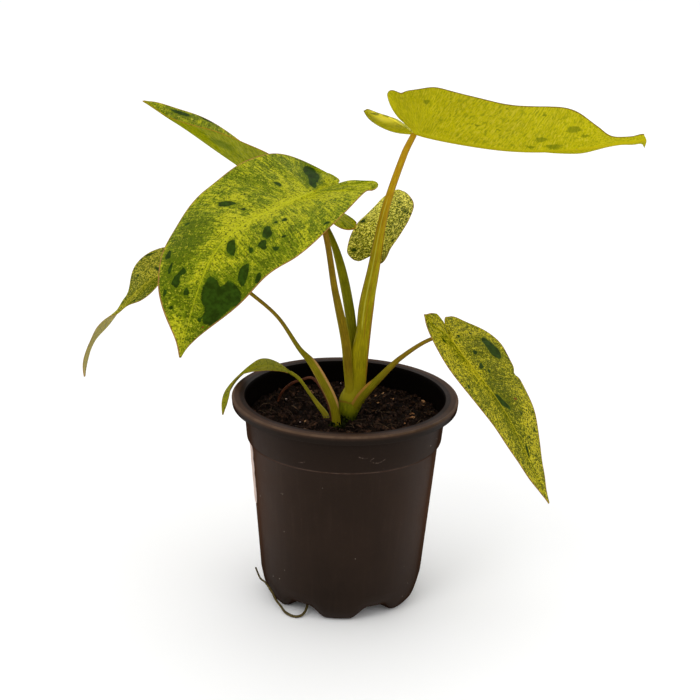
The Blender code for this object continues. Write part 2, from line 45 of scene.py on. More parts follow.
# The pot, as in the CAD: radii and heights from the underside's middle up to the lip
POT_HEIGHT = 113.0
RIM_RADIUS = 60.0
UNDERSIDE = ((20.0, 0.0), (26.0, 0.0), (31.0, 0.0), (36.6, 0.0))
CORNER = ((38.6, 0.8), (40.4, 2.8), (41.8, 5.8), (42.8, 9.6), (43.5, 14.0))
SHOULDER = (50.1, 89.0)
COLLAR = ((51.8, 90.0), (53.2, 105.0))
LIP_THICKNESS = 1.2
LIP_DROP = 4.6
WALL = 1.2
FEET = 6
FOOT_LIFT = 6.0
FOOT_TURN = -1.2
LIFT_FADE_HEIGHT = 15.0
LIFT_RADII = (20.0, 31.0)
ARCH_ANGLES = (6.5, 20.5)
DRAIN_RADIUS = 3.0
DRAIN_CIRCLE = 33.0
POT_SEGMENTS = 240
POT_WALL_STEP = 6.0
POT_SHARP_ANGLE = 50
BEND_RADIUS = 1.1
BEND_STEPS = 3
DRAIN_CUT_HEIGHT = 4.0
DRAIN_CUT_DEPTH = 18.0
DRAIN_CUT_SEGMENTS = 40

# The soil and what lies in it
SOIL_TOP = 101.5
SOIL_EDGE = 100.4
SOIL_LUMP = 0.8
SOIL_LOWER = 0.2
SOIL_GAP = 0.35
SOIL_RINGS = 70
SOIL_SEGMENTS = 200
CLODS = 2600
CHIPS = 150
FIBRES = 90
SOIL_REACH = 49.5
FIBRE_REACH = 46.0
STEM_GAPS = ((1.2, -8.0, 5.0), (-3.7, -18.3, 3.6), (-9.9, -4.0, 2.2))  # bare round each stem: middle, radius
CRUMB_WAVES = ((14, 0.5), (8, 0.45), (5, 0.35), (3.2, 0.28), (2.2, 0.2))  # wavelength, height
WAVES_OF_EACH = 7
CRUMB_LIMIT = 2.0
EXTRA_TAN = 26
EXTRA_PERLITE = 7
# Half length, half width and half height: of a bark chip, and of tan chips and perlite as shares of their size
BARK_FORM = np.array([[2.1, 0.8, 0.45]])
TAN_FORM = np.array([[1.0, 0.5, 0.35]])
PERLITE_FORM = np.array([[1.0, 0.8, 0.7]])
FINE_GRAINS = 900  # a mesh with more grains than this has coarser ones

# The blank label on the pot's left side
LABEL_HEIGHTS = (54.0, 88.0)
LABEL_ANGLES = (120.0, 197.0)
LABEL_OFF = 0.10
LABEL_THICKNESS = 0.3
LABEL_CORNER = 3.0
LABEL_RADIUS = 48.0
LABEL_GRID = (40, 90)

# Blades, as in the CAD, with finer steps
VEIN_SWEEP = 1.35
VEIN_BOW = 1.2
MIDRIB_STEPS = 90
BLADE_ROWS = 144
HALF_COLUMNS = 34
VEINS = 12
BLADE_TOP = -0.08
THICK_MIDDLE = 0.45
THICK_MARGIN = 0.22
RIB_HEIGHT = 1.0
SWELL_HEIGHT = 0.42
MARGIN_WAVES = ((2.2, 0.55), (4.7, 0.30), (9.3, 0.12))  # waves along a half's margin, height
GROOVE_DEPTH = 0.28
SMALL_LEAF = 10
SMALL_GRID = (72, 14)
FULL_WIDTH = 40.0  # the half width at which relief and markings have their full size
RIM_OUT = 0.12
ROUND_TIP = (
    (1.0, 0.06), (0.99, 0.22), (0.90, 0.40), (0.74, 0.56), (0.53, 0.71), (0.31, 0.84), (0.12, 0.94),
    (0.02, 1.0),
)
DEEP_LOBE = ((0.16, -0.45), (0.34, -0.95), (0.52, -1.0), (0.74, -0.78), (0.93, -0.30))
BROAD = DEEP_LOBE + ROUND_TIP
NARROW_SINUS = ((0.05, -0.45), (0.14, -0.85), (0.32, -1.02), (0.62, -0.86), (0.90, -0.36)) + ROUND_TIP
SHORT_LOBED = ((0.16, -0.20), (0.34, -0.42), (0.52, -0.45), (0.74, -0.36), (0.93, -0.14)) + ROUND_TIP
NARROW_TAIL = DEEP_LOBE + (
    (1.0, 0.06), (0.96, 0.20), (0.78, 0.34), (0.50, 0.44), (0.33, 0.53), (0.24, 0.64), (0.11, 0.75),
    (0.08, 0.90), (0.02, 1.0),
)
LANCE = (
    (0.14, 0.0), (0.22, 0.03), (0.34, 0.08), (0.52, 0.15), (0.74, 0.24), (0.92, 0.34),
    (1.0, 0.44), (0.97, 0.54), (0.84, 0.64), (0.62, 0.74), (0.38, 0.84), (0.16, 0.93), (0.03, 1.0),
)
LONG_TIPPED = DEEP_LOBE + (
    (1.0, 0.06), (0.97, 0.24), (0.86, 0.42), (0.80, 0.56), (0.66, 0.68), (0.36, 0.78), (0.12, 0.86),
    (0.11, 1.0),
)
LEAVES = {
    "front": dict(
        base=(-18, -16, 227), length=118, half_width=41, lobe=25, outline=BROAD, outline_right=NARROW_SINUS,
        heading=(210, 217, 216, 235, 244), pitch=(13, -10, -20, -57, -67), roll=(4, 10, 18, 21, 61),
        fold_left=(25, 23, 6, -5, -29), fold_right=(-11, 1, -4, -6, 20),
        curl_left=(-11, -6, -5, 4, 1), curl_right=(28, 13, -6, -23, -8),
    ),
    "tall": dict(
        base=(32, 12, 252), length=121, half_width=38, lobe=25, outline=LONG_TIPPED,
        heading=(0, 3, 0, 1, -4), pitch=(-43, -16, -6, 6, 16), roll=(32, 30, 30, 38, 47),
        fold_left=(20, 25, 25, 22, 13), fold_right=(19, 22, 22, 26, 23),
        curl_left=(-22, -18, -7, -1, 1), curl_right=(-9, -2, -3, -3, 1),
    ),
    "back": dict(
        base=(-20.9, 32, 209.6), length=120, half_width=31, lobe=27, outline=BROAD, outline_right=SHORT_LOBED,
        heading=(171, 160, 150, 147, 145), pitch=(-3, 11, 22, 21, 23), roll=(3, -21, -23, -14, -7),
        fold_left=(-14, 18, 24, 20, 20), fold_right=(3, 11, 15, 20, 27),
        curl_left=(-25, -4, 3, 2, 0), curl_right=(0, -2, -4, -3, 1),
    ),
    "new": dict(
        base=(13, 14, 187), length=53, half_width=18, lobe=7, outline=BROAD,
        heading=(47, 58, 68, 80, 71), pitch=(40, 53, 43, 19, -8), roll=(5, 12, 12, 12, 5),
        fold_left=(8, 5, -2, -13, -6), fold_right=(13, 17, 10, -1, -2),
        curl_left=(3, 4, 1, -4, -3), curl_right=(9, 11, 7, 1, -1),
    ),
    "left": dict(
        base=(-80, -4, 184), length=90, half_width=23, lobe=12, outline=NARROW_TAIL,
        heading=(182, 184, 185, 178, 188), pitch=(-1, -10, -40, -53, -92), roll=(1, -8, -5, -47, -71),
        fold_left=(44, 22, -7, -24, -21), fold_right=(42, 25, 26, 12, 16),
        curl_left=(-3, -5, -6, -14, -13), curl_right=(-4, -7, -1, -4, -4),
    ),
    "right": dict(
        base=(53.1, -19.5, 153.2), length=99.5, half_width=33, lobe=13, outline=NARROW_SINUS,
        heading=(-46, -51, -42, -45, -30), pitch=(-43, -33, -38, -53, -58), roll=(-2, -4, -8, -7, -12),
        fold_left=(-15, -11, -14, -17, -22), fold_right=(38, 40, 32, 30, 21),
        curl_left=(-9, -8, -8, -9, -5), curl_right=(5, -3, -8, 6, -6),
    ),
    "small": dict(
        base=(-30.2, 6.2, 122.9), length=58.5, half_width=8.5, lobe=1, outline=LANCE,
        heading=(164, 161, 152, 168, 201), pitch=(56, 25, -21, -59, -86), roll=(-6, 10, 17, 20, 43),
        fold_left=(-8, -12, 9, 15, 6), fold_right=(-13, -9, -1, -7, 13),
        curl_left=(1, 1, 2, -1, -1), curl_right=(-7, -5, -3, -9, -3),
    ),
}

# Patches on the flat blades: (across, along, half length, half width, angle of the long axis, strength)
PATCHES = {
    "front": (
        (-7, 85, 9.5, 4.9, -72, 1), (-15, 82, 6.5, 6.4, 18, 1), (-10, 94, 5.6, 4.6, -89, 1),
        (-11, 89, 6.4, 6, 19, 1), (19, -10, 12, 4.2, -22, 0.74), (12, -8, 7, 3.2, -40, 0.85),
        (7, -4, 6, 2.2, -23, 0.8), (-14, 39, 5, 2.5, -40, 1), (-6, 58, 5.3, 2.5, -52, 1),
        (-19, 47, 3.9, 2.3, -48, 1), (-16, 54, 2.7, 1.6, -51, 0.8), (-26, 44, 2.4, 2, 38, 0.8),
        (-19, 69, 7, 2.6, -85, 1), (-14, 28, 1.5, 1.3, -34, 1), (-12, 32, 1.2, 0.9, -40, 1),
        (-24, 36, 1.5, 1.2, -36, 1), (20, 39, 4.4, 2.1, 38, 1), (12, 83, 3.7, 2, -73, 1),
        (11, 78, 2, 1.6, 50, 1), (0, 61, 4.3, 1.9, -52, 0.5), (16, 11, 2.8, 1.2, 9, 1),
        (10, 36, 1.5, 1.2, -25, 1), (5, 87, 1.8, 1.5, -72, 1), (-5, 98, 1.5, 1.2, -74, 0.8),
        (-27, 68, 5.9, 2.1, -88, 0.7), (-37, 19, 1.9, 0.9, 20, 1), (-22, 16, 4.1, 3, -34, 0.5),
        (23, 26, 3.4, 2.4, 50, 0.5), (23, 72, 3, 2, -77, 0.8), (27, 56, 1.8, 1.1, 19, 0.8),
        (18, 78, 3.4, 1.0, -80, 0.9), (15, 90, 2.0, 1.0, -80, 0.9), (10, 96, 1.4, 1.0, 0, 0.9),
        (-37, -11, 2.4, 1.6, 60, 0.75),
    ),
    "tall": (
        (-13, -20, 3.6, 1.5, 20, 1), (-8, -15, 2.6, 1.1, 20, 1), (25, -2, 2.2, 1.8, 76, 0.9),
        (13, 82, 4.8, 2.4, -85, 0.8), (8, 65, 3.2, 1.8, -90, 0.9), (3, 72, 4.8, 1.9, -89, 0.8),
        (3, 60, 2.4, 1.0, -90, 0.8), (16, 29, 1.8, 0.9, -60, 0.8), (31, 43, 1.8, 0.8, -80, 0.8),
        (25, 65, 1.5, 0.9, -70, 0.8), (15, 41, 1.6, 0.8, -60, 0.7), (16, 15, 1.5, 0.8, -40, 0.7),
        (8, 88, 3, 1.2, -88, 0.7), (20, 90, 3, 1.1, -80, 0.7),
    ),
    "back": (
        (8, 96, 7, 2.0, -70, 0.8), (16, 84, 6, 1.8, -70, 0.7), (-14, 54, 14, 6, 75, 0.62),
        (-17, 66, 5, 2, 80, 0.6), (-12, 43, 3, 2, 60, 0.6),
    ),
    "new": (
        (-14, 20, 2.6, 1.8, 80, 0.72), (-13, 0, 1.8, 1.2, 0, 0.9), (14, 6, 1.6, 1.3, 0, 0.7),
        (5, 32, 1.5, 1.2, 0, 0.7), (11, 24, 1.4, 1.1, 0, 0.7),
    ),
    "left": (
        (5, 18, 3, 1.0, 20, 0.9), (20, 20, 2.6, 0.8, 80, 0.9), (20, 25, 1.6, 0.8, 60, 0.8),
        (10, 29, 1.3, 0.9, 0, 0.8), (-12, 34, 3, 1.0, 100, 0.7),
    ),
    "right": (
        (-23.5, 11, 8.6, 4.0, 98, 1), (-9, 12, 1.8, 1.3, 30, 1), (-6, 21, 2.6, 1.3, 40, 1),
        (-9, 25, 1.8, 0.9, 70, 0.9), (18, 7, 1.7, 1.5, 36, 1), (-6, 0, 1.0, 0.9, 0, 1),
        (-33, 16, 2.6, 1.0, 90, 1), (25, 33, 1.5, 1.3, 0, 0.9), (-2.5, 44, 5.4, 2.0, 120, 1),
        (-1, 41, 3.0, 2.2, 60, 0.9), (-2, 71, 3.4, 0.8, 75, 1), (-17, 62, 1.8, 0.9, 70, 0.9),
        (-9, 65, 1.2, 0.9, 0, 0.9), (-20, 26, 1.4, 1.0, 0, 0.8), (-14, 31, 1.2, 0.9, 0, 0.8),
        (-16, -1, 1.1, 0.9, 0, 0.8), (14, 54, 1.4, 1.0, 0, 0.7), (-12, 52, 2.0, 1.0, 60, 0.7),
        (30, 20, 1.1, 0.8, 0, 0.8),
    ),
    "small": (),
}
# Where a blade is greener (+) or yellower (-) than the rest, in the same terms
CLOUDS = {
    "front": (
        (16, 82, 15, 7, 95, 0.13), (6, 92, 9, 7, 0, 0.06), (-14, 92, 13, 11, 100, 0.18),
        (-9, 103, 9, 7, 60, 0.12), (-25, 76, 13, 8, 110, 0.12), (-30, 58, 14, 6, 100, 0.10),
        (-26, 38, 14, 8, 90, 0.05), (10, -6, 12, 7, -20, 0.16), (12, -17, 8, 5, 0, -0.06),
        (0, 28, 30, 4, 90, -0.16), (3, 108, 8, 6, 90, -0.08), (11, 102, 6, 4, 90, -0.05),
        (24, 40, 26, 8, 100, 0.02), (33, 0, 12, 9, 60, 0.05), (-10, 8, 12, 5, 30, -0.05),
        (-5, 72, 14, 5, 90, 0.03), (22, 58, 12, 8, 95, 0.12), (14, 68, 14, 6, 95, 0.12),
        (-22, 88, 8, 6, 60, 0.10), (20, 80, 10, 6, 95, 0.08),
    ),
    "right": (
        (-4, 42, 15, 8, 75, 0.28), (-14, 24, 16, 8, 100, 0.06), (-18, 8, 10, 7, 100, 0.05),
        (12, 20, 26, 9, 80, 0.04), (4, 62, 10, 7, 90, 0.10), (-16, 56, 16, 5, 80, -0.06),
        (24, 14, 18, 6, 75, -0.06), (2, 80, 20, 9, 90, -0.02),
    ),
    "left": ((-16, 26, 20, 8, 100, 0.32), (-8, 44, 10, 4, 100, -0.10)),
    "new": ((8, 22, 12, 8, 60, 0.05), (-8, -2, 9, 7, 0, 0.04), (-4, 14, 12, 4, 60, -0.06)),
    "back": ((8, 94, 20, 6, -70, 0.10), (-15, 50, 24, 7, 80, 0.10)),
    # the tall leaf's yellower lobe is laid paler on its underside, partly as painted light
    "tall": ((-10, -15, 12, 9, 0, -0.30),),
}
BROWN_SPOTS = {
    "right": ((-14, 44, 1.3, 0.8, -37, 1),), "back": ((-24, 12, 1.8, 1, 70, 1),),
    "front": ((-8, 101, 1.4, 0.6, 20, 0.8),),
}

# Small local changes of shape: (across, along) on the flat blade, reach, and the push in the frame
PULLS = {
    "front": (
        ((14, -20), 8, (0, 0, 2.4)), ((-12, -14), 8, (0, 0, 1.4)), ((4, -14), 4.5, (0, 0, -2.4)),
        ((9, -24), 6, (-3.6, 0, 0.6)), ((-33, -15), 6, (3.4, 0, 0.8)), ((24, 68), 12, (-1.2, 0, 0)),
    ),
    "tall": (
        ((-4, 122), 3.4, (-2.6, 0, -4.4)), ((4, 122), 4.5, (-2.2, 0, -1.8)), ((4, 114), 5, (0, 0, -0.9)),
        ((-4, 113), 5, (0, 0, -0.8)), ((-12, -10), 9, (0, 0, 3.2)), ((23, -21), 2.6, (0.4, 0, -1.8)),
        ((17, -25), 3.6, (-1.4, 0, 1.6)), ((37, 56), 2.2, (0, 0, 1.1)), ((37, 49), 2.4, (0, 0, -0.6)),
    ),
    "right": (
        ((-32.5, 30), 2.6, (-1.4, 0, -0.6)), ((33, -8), 3.0, (-1.2, 0, 0.4)), ((28, -11), 4.0, (-2.0, 0, 1.2)),
        ((10, -9), 6.0, (2.6, 0, 1.0)), ((-4, -5), 3.5, (-1.1, 0, 0.3)), ((4, -6), 3.5, (0.9, 0, 0.4)),
    ),
    "left": (((-9, 44), 6, (-0.4, 0, -2.2)), ((4, 42), 4, (0, 0, 1.2))),
    "small": (((-8, 50), 3.0, (-2.2, 0, 0.8)),),
    "back": (((0, 121), 7, (1.8, 0, -2.0)), ((17, 84), 14, (0.6, 0, 1.9))),
}
# Ends that roll: where the roll starts, the way it runs, its radius and its side of the blade
ROLLS = {"front": ((-30, -13), (-0.7, -0.7), 1.5, -1)}

# Colours and gloss of leaves, stalks, pot and soil
CHARTREUSE = (0.39, 0.395, 0.008)
MID_GREEN = (0.105, 0.155, 0.003)
DEEP_GREEN = (0.012, 0.030, 0.002)
DARK_SPECK = (0.040, 0.062, 0.002)
PALE_FLECK = (0.50, 0.46, 0.06)
UNDER_OLIVE = (0.33, 0.30, 0.004)
UNDER_GREEN = (0.12, 0.14, 0.003)
MARGIN_BROWN = (0.29, 0.13, 0.040)
SPOT_BROWN = (0.16, 0.035, 0.008)
LEAF_SPECULAR = 0.04
STALK_SPECULAR = 0.07
POT_SPECULAR = 0.09
POT_SHEEN = 0.09
POT_SHEEN_TINT = (1.0, 0.46, 0.26)
POT_SPECULAR_TINT = (1.0, 0.72, 0.56)
SOIL_SPECULAR = 0.05
LEAF_SPECULAR_TINT = (1.0, 0.92, 0.25)
LABEL_SPECULAR = 0.2
POT_SHEEN_ROUGHNESS = 0.55
# How each blade is coloured: ground, clouds, shares of specks and dots, the underside and the margin
LOOK = dict(
    green=0.0, fleck=PALE_FLECK, dots=0.12, fine=1.0,
    under=UNDER_OLIVE, under_cloud=UNDER_GREEN, margin=MARGIN_BROWN,
)
LOOKS = {
    "front": dict(LOOK, ground=CHARTREUSE, cloud=MID_GREEN, specks=0.6, fleck=(0.47, 0.44, 0.03), dots=0.3),
    "tall": dict(
        LOOK, ground=(0.62, 0.57, 0.08), cloud=(0.17, 0.22, 0.01), green=-0.08, specks=0.9,
        # the tall leaf's pale yellow underside is partly its own colour and partly painted light, standing in
        # for light shining through the blade
        under=(0.45, 0.405, 0.003), under_cloud=(0.13, 0.16, 0.002), margin=(0.15, 0.075, 0.006),
    ),
    "back": dict(
        LOOK, ground=(0.36, 0.36, 0.003), cloud=(0.11, 0.15, 0.001), specks=0.3,
        under=(0.25, 0.265, 0.001), under_cloud=(0.085, 0.13, 0.001), margin=(0.34, 0.15, 0.012),
    ),
    "new": dict(
        LOOK, ground=(0.53, 0.49, 0.010), cloud=(0.18, 0.21, 0.002), specks=1.5, fleck=(1.0, 0.89, 0.14),
        dots=0.75, fine=1.4, under=(0.38, 0.36, 0.02),
    ),
    "left": dict(
        LOOK, ground=(0.28, 0.26, 0.008), cloud=(0.10, 0.13, 0.002), specks=1.2, fleck=(0.46, 0.40, 0.04),
        dots=0.4, under=(0.37, 0.32, 0.08), under_cloud=(0.26, 0.23, 0.05),
    ),
    "right": dict(
        LOOK, ground=(0.43, 0.365, 0.006), cloud=(0.14, 0.155, 0.001), specks=0.9, fleck=(0.57, 0.49, 0.03),
        dots=0.9, fine=1.25, margin=(0.26, 0.10, 0.03),
    ),
    "small": dict(
        LOOK, ground=(0.22, 0.21, 0.010), cloud=(0.17, 0.18, 0.006), specks=0.0, under=(0.27, 0.25, 0.02),
    ),
}

# Petioles, as in the CAD. Ridges run along them: (angle from the viewer's side, half width in degrees,
# height as a share of the radius, start share, end share, how much it takes the edge colour (+) or is
# pale (-)). Top is the colour of the far end, and turn is the shares between which it comes in.
CROWN_LIME = (0.29, 0.245, 0.008)
PETIOLES = {
    "front": dict(
        route=((3.0, -6.2, 111), (1.2, -6.2, 130), (-0.6, -6.2, 145.5), (-6.6, -8.4, 173), (-11.2, -11.4, 200)),
        radii=(2.2, 2.3, 2.3, 1.8, 1.5, 1.4), colour=(0.205, 0.135, 0.006), edge=(0.30, 0.26, 0.012),
        top=(0.17, 0.085, 0.008), turn=(0.5, 0.9), foot=CROWN_LIME,
        ridges=((64, 22, 0.15, -0.1, 0.55, 0.6), (-70, 26, 0.10, -0.1, 0.5, 0.7)),
    ),
    "tall": dict(
        route=(
            (7.8, -5.4, 111), (8.1, -5, 133), (9.3, -3, 160), (12.8, 0, 182), (17.9, 3, 213), (26.7, 7, 241.5),
        ),
        radii=(2.2, 3.0, 3.8, 3.1, 2.0, 1.7, 1.5), colour=(0.30, 0.25, 0.004), edge=(0.25, 0.115, 0.008),
        top=(0.36, 0.19, 0.006), turn=(0.45, 0.85), foot=CROWN_LIME,
        ridges=(
            (-84, 32, 0.75, -0.2, 0.27, 0.15), (66, 20, 0.16, -0.1, 0.44, 0.9), (78, 26, 0.04, 0.40, 1.2, 0.8),
            (-76, 22, 0.04, 0.30, 1.2, 0.7), (-12, 9, -0.05, 0.25, 0.80, -0.9), (8, 8, 0.02, 0.2, 0.75, 0.8),
        ),
    ),
    "back": dict(
        route=((3.0, -1.2, 111), (3.3, 2, 140), (1.1, 5, 158), (-3.6, 10, 178.7), (-9.4, 17, 194)),
        radii=(2.0, 2.4, 2.6, 2.4, 1.6, 1.5), colour=(0.18, 0.175, 0.003), edge=(0.24, 0.21, 0.006),
        top=(0.12, 0.10, 0.003), turn=(0.5, 1.0), foot=CROWN_LIME,
        ridges=((50, 25, 0.2, -0.1, 0.5, 0.3), (-70, 24, 0.05, 0.0, 1.1, 0.8)),
    ),
    "new": dict(
        route=((7.8, -0.4, 111), (9, 3.2, 134), (10.5, 5.4, 160)),
        radii=(2.0, 2.0, 1.9, 1.3), colour=(0.14, 0.15, 0.006), edge=(0.2, 0.18, 0.01),
        top=(0.20, 0.19, 0.01), turn=(0.5, 1.0), ridges=((60, 20, 0.08, -0.1, 1.1, 0.7),),
    ),
    "left": dict(
        route=(
            (-3.8, -18, 102), (-5.9, -17, 114), (-11.4, -14.6, 125), (-17.8, -12, 134.8), (-24.2, -9.8, 141.3),
            (-35.7, -6.4, 157), (-48.8, -4.4, 168), (-63.4, -4, 178.4),
        ),
        radii=(2.2, 2.3, 2.3, 2.0, 1.3, 1.0, 1.0, 1.0, 1.2),
        colour=(0.185, 0.155, 0.005), edge=(0.44, 0.23, 0.08), top=(0.19, 0.115, 0.010), turn=(0.36, 0.62),
        ridges=(
            (56, 24, 0.30, 0.06, 0.37, 1.0), (-62, 26, 0.16, 0.04, 0.36, 0.5), (-70, 24, 0.02, 0.36, 1.1, 0.6),
        ),
    ),
    "right": dict(
        route=(
            (4.6, -8.4, 108), (9.4, -10.6, 116.8), (18.9, -12.4, 128.9), (28.3, -14.3, 139.6), (43.1, -17, 151),
        ),
        radii=(2.3, 2.3, 1.8, 1.3, 1.0, 1.1), colour=(0.19, 0.165, 0.005), edge=(0.33, 0.15, 0.025),
        top=(0.20, 0.12, 0.008), turn=(0.30, 0.62),
        ridges=((-56, 26, 0.42, -0.1, 0.33, 1.0), (60, 26, 0.05, 0.1, 1.1, 0.5)),
    ),
    "small": dict(
        route=((-8.6, -4, 92), (-9.9, -4, 102), (-14.6, -2, 108), (-18.9, 0.5, 113), (-24.7, 4.2, 119.6)),
        radii=(1.2, 1.6, 1.2, 0.9, 0.9, 0.9), colour=(0.30, 0.255, 0.015), edge=(0.22, 0.14, 0.015),
        top=(0.20, 0.19, 0.008), turn=(0.5, 0.95),
        ridges=((0, 30, -0.3, 0.2, 0.7, 0.4), (60, 24, 0.1, 0.1, 1.1, -0.6)),
    ),
}
# The crown's rings: middle, then half its width and half its depth
CROWN = (
    (1.0, -8.4, 84, 3.0, 3.0), (1.2, -8.2, 97, 3.3, 3.3), (1.6, -8.0, 101.5, 3.8, 3.8),
    (2.0, -7.6, 105, 4.5, 4.4), (2.8, -6.7, 109, 5.7, 4.6), (3.6, -5.8, 112.5, 5.9, 4.1),
    (4.5, -5.0, 116, 5.4, 3.3), (5.0, -4.6, 119, 4.7, 2.5), (5.2, -4.4, 122.5, 3.6, 1.6),
)
OFFSHOOT = dict(route=((-3.4, -19, 84), (-3.6, -18.5, 96), (-3.8, -18, 103.5)), radii=(2.2, 2.7, 2.5))
CROWN_RIDGES = ((25, 40, 0.07, 0.3, 1.1, 0), (-35, 30, 0.09, 0.5, 1.1, 0), (-110, 50, 0.08, 0.3, 1.1, 0))
CROWN_GREENS = dict(
    pale=(0.150, 0.155, 0.003), deep=(0.095, 0.110, 0.002), lines=(0.22, 0.205, 0.006),
    low=(0.026, 0.038, 0.002), foot=(0.005, 0.006, 0.001), scar=(0.17, 0.075, 0.008),
)
SCAR_HEIGHT = 112.6
AERIAL_ROOT = dict(
    route=(
        (-5.5, -12, 92), (-7, -11, 106), (-11, -7, 116), (-17, 0, 121.5), (-23, 7.5, 118), (-29, 11.5, 114),
        (-34, 14, 108), (-36.6, 16, 100), (-37, 17, 92),
    ),
    radii=(0.8, 0.8, 0.8, 0.8, 0.8, 0.8, 0.7, 0.6, 0.6),
    colours=((0.050, 0.014, 0.007), (0.14, 0.045, 0.020)),
)
DRAIN_ROOT = dict(
    route=(
        (-16.8, -28.6, 6.6), (-17.4, -32.2, 3.4), (-19.6, -36.4, 1.3), (-23.4, -38, 1.0), (-28.4, -34.4, 1.2),
        (-31.5, -28.8, 2.1), (-34.3, -26.2, 4.6), (-36.5, -24.4, 8.3), (-40.2, -19.4, 11.0), (-43.4, -13, 10.4),
        (-46.4, -6, 13.4),
    ),
    radii=(0.6, 0.7, 0.7, 0.7, 0.7, 0.6, 0.6, 0.6, 0.5, 0.5, 0.45),
    colours=((0.035, 0.026, 0.008), (0.11, 0.080, 0.025)),
)
MOSS_RINGS = (((1.4, -8.0), 3.6), ((-3.7, -18.4), 2.7))  # middle and radius at the foot of each stem
MOSS_STUBS = 170
MOSS_SHARE = 0.6  # of them at the first stem
# Steps along and around each kind of tube
PETIOLE_GRID = (110, 28)
CROWN_GRID = (100, 56)
OFFSHOOT_GRID = (40, 32)
ROOT_GRID = (140, 14)
FIBRE_GRID = (10, 6)
STUB_GRID = (6, 6)

# Bright bits on the soil, placed by the photograph: (x, y, size)
PERLITE = (
    (-32.2, 23.5, 0.75), (-23.3, -13.5, 0.5), (-25.2, -16.5, 0.45), (-2.7, 48.5, 0.7), (-2.1, -27.3, 0.6),
    (-12.1, 0.2, 0.4),
)
TAN_CHIPS = (
    (42.5, 24.0, 2.0), (41.0, 19.5, 1.5), (35.2, -3.6, 2.4), (31.3, -11.0, 1.5), (26.0, 23.8, 1.4),
    (16.8, 29.2, 1.6), (17.8, 17.2, 1.2), (35.8, 2.2, 1.8), (20.7, 35.7, 1.3), (-20.2, -10.5, 1.0),
    (-30.2, -22.4, 1.6), (-27.7, -19.5, 1.2), (-18.3, 31.7, 1.3),
)

# Curved scratches on the front of the collar: middle across, height, half length, bow, slope
SCRATCHES = (
    (10.0, 98.4, 2.6, 0.6, -0.5), (18.0, 95.2, 4.0, 1.6, 0.6), (14.6, 97.6, 1.2, -0.4, 0.9),
    (-21.0, 93.6, 1.8, 0.3, 0.5),
)
# The plastic's colours, some of them painted light and shade on the lip, the collar and the inner wall
PLASTIC = dict(
    dark=(0.0080, 0.0055, 0.0042), pale=(0.0115, 0.0075, 0.0055), drawn=(0.016, 0.0105, 0.0078),
    collar=(0.0055, 0.0034, 0.0025), dust=(0.20, 0.15, 0.11), speck=(0.33, 0.29, 0.25),
    seam=(0.115, 0.084, 0.066), lip=(0.030, 0.017, 0.011), lip_inner_shade=(0.009, 0.0055, 0.0042),
    lip_face_shade=(0.0045, 0.0036, 0.0028), lip_highlight=(0.100, 0.062, 0.040), under_lip_shadow=(0.004, 0.0027, 0.0020),
    inner_wall_shade=(0.0026, 0.0019, 0.0016), scratch=(0.085, 0.062, 0.050),
)
SEAM_HEIGHT = 89.55
MEAN_RADIUS = 52.0
WALL_SLOPE = 0.0933  # how much the inner wall widens with height
INNER_WALL = (42.95, 42.65)  # radii at height 0 between which the inside begins
# Grains: for blotches, flecks, roughness and bumps, a noise (scale, detail, roughness) and how it is used
GRAINS = {
    "crumb": (
        ((0.35, 3, 0.7), (0.42, 0.66)), ((2.4, 3, 0.7), (0.55, 0.75, 0.5)), ((0.8, 2), (0.35, 0.7, 0.6, 0.95)),
        ((2.5, 4, 0.7), (0.8, 0.3)),
    ),
    "mix": (
        ((0.16, 4, 0.7), (0.38, 0.68)), ((1.4, 4, 0.75), (0.60, 0.75, 0.7)), ((0.7, 2), (0.3, 0.7, 0.7, 1.0)),
        ((1.6, 5, 0.75), (1.0, 0.6)),
    ),
    "paper": (
        ((0.09, 4, 0.6), (0.35, 0.7)), ((0.7, 4, 0.7), (0.55, 0.8, 0.4)), ((0.3, 2), (0.3, 0.7, 0.42, 0.62)),
        ((3.0, 4, 0.7), (0.3, 0.1)),
    ),
}
# Grainy pieces: grain, dark and light colours, and that of the flecks where it isn't just lighter
GRAINY = {
    "potting_mix": ("mix", (0.006, 0.0036, 0.0028), (0.016, 0.0090, 0.006), (0.045, 0.026, 0.018)),
    "soil_crumbs": ("crumb", (0.011, 0.0060, 0.0044), (0.048, 0.025, 0.017)),
    "bark_chips": ("crumb", (0.024, 0.012, 0.007), (0.075, 0.034, 0.018)),
    "tan_chips": ("crumb", (0.30, 0.13, 0.055), (0.46, 0.26, 0.13)),
    "perlite": ("crumb", (0.40, 0.28, 0.24), (0.58, 0.46, 0.42)),
    "soil_fibres": ("crumb", (0.05, 0.03, 0.018), (0.13, 0.085, 0.05)),
    "stem_moss": ("crumb", (0.004, 0.006, 0.001), (0.020, 0.026, 0.003)),
    "side_label": ("paper", (0.58, 0.46, 0.40), (0.48, 0.37, 0.32), (0.36, 0.28, 0.23)),
}

# The camera, from the pot's rim, collar and feet in the photograph
CAMERA_TARGET = (1.9, 0.0, 138.0)
CAMERA_DISTANCE = 900.0
CAMERA_ELEVATION = 19.3
CAMERA_ROLL = 1.54
CAMERA_LENS = 88.3
SENSOR = 36.0
LIGHTS = (  # name, place in metres, size and watts
    ("key", (-0.9, -1.3, 1.6), 0.9, 8.0), ("fill", (1.4, -0.9, 1.0), 1.2, 2.0),
    ("back", (0.3, 1.5, 1.3), 1.4, 3.0),
)
ROOM_LIGHT = 1.06
FLOOR_SIZE = 6.0
FLOOR_COLOURS = ((0.93, 0.93, 0.93), (0.95, 0.95, 0.95))
FLOOR_SPECULAR = 0.1
FLOOR_ROUGHNESS = 0.9


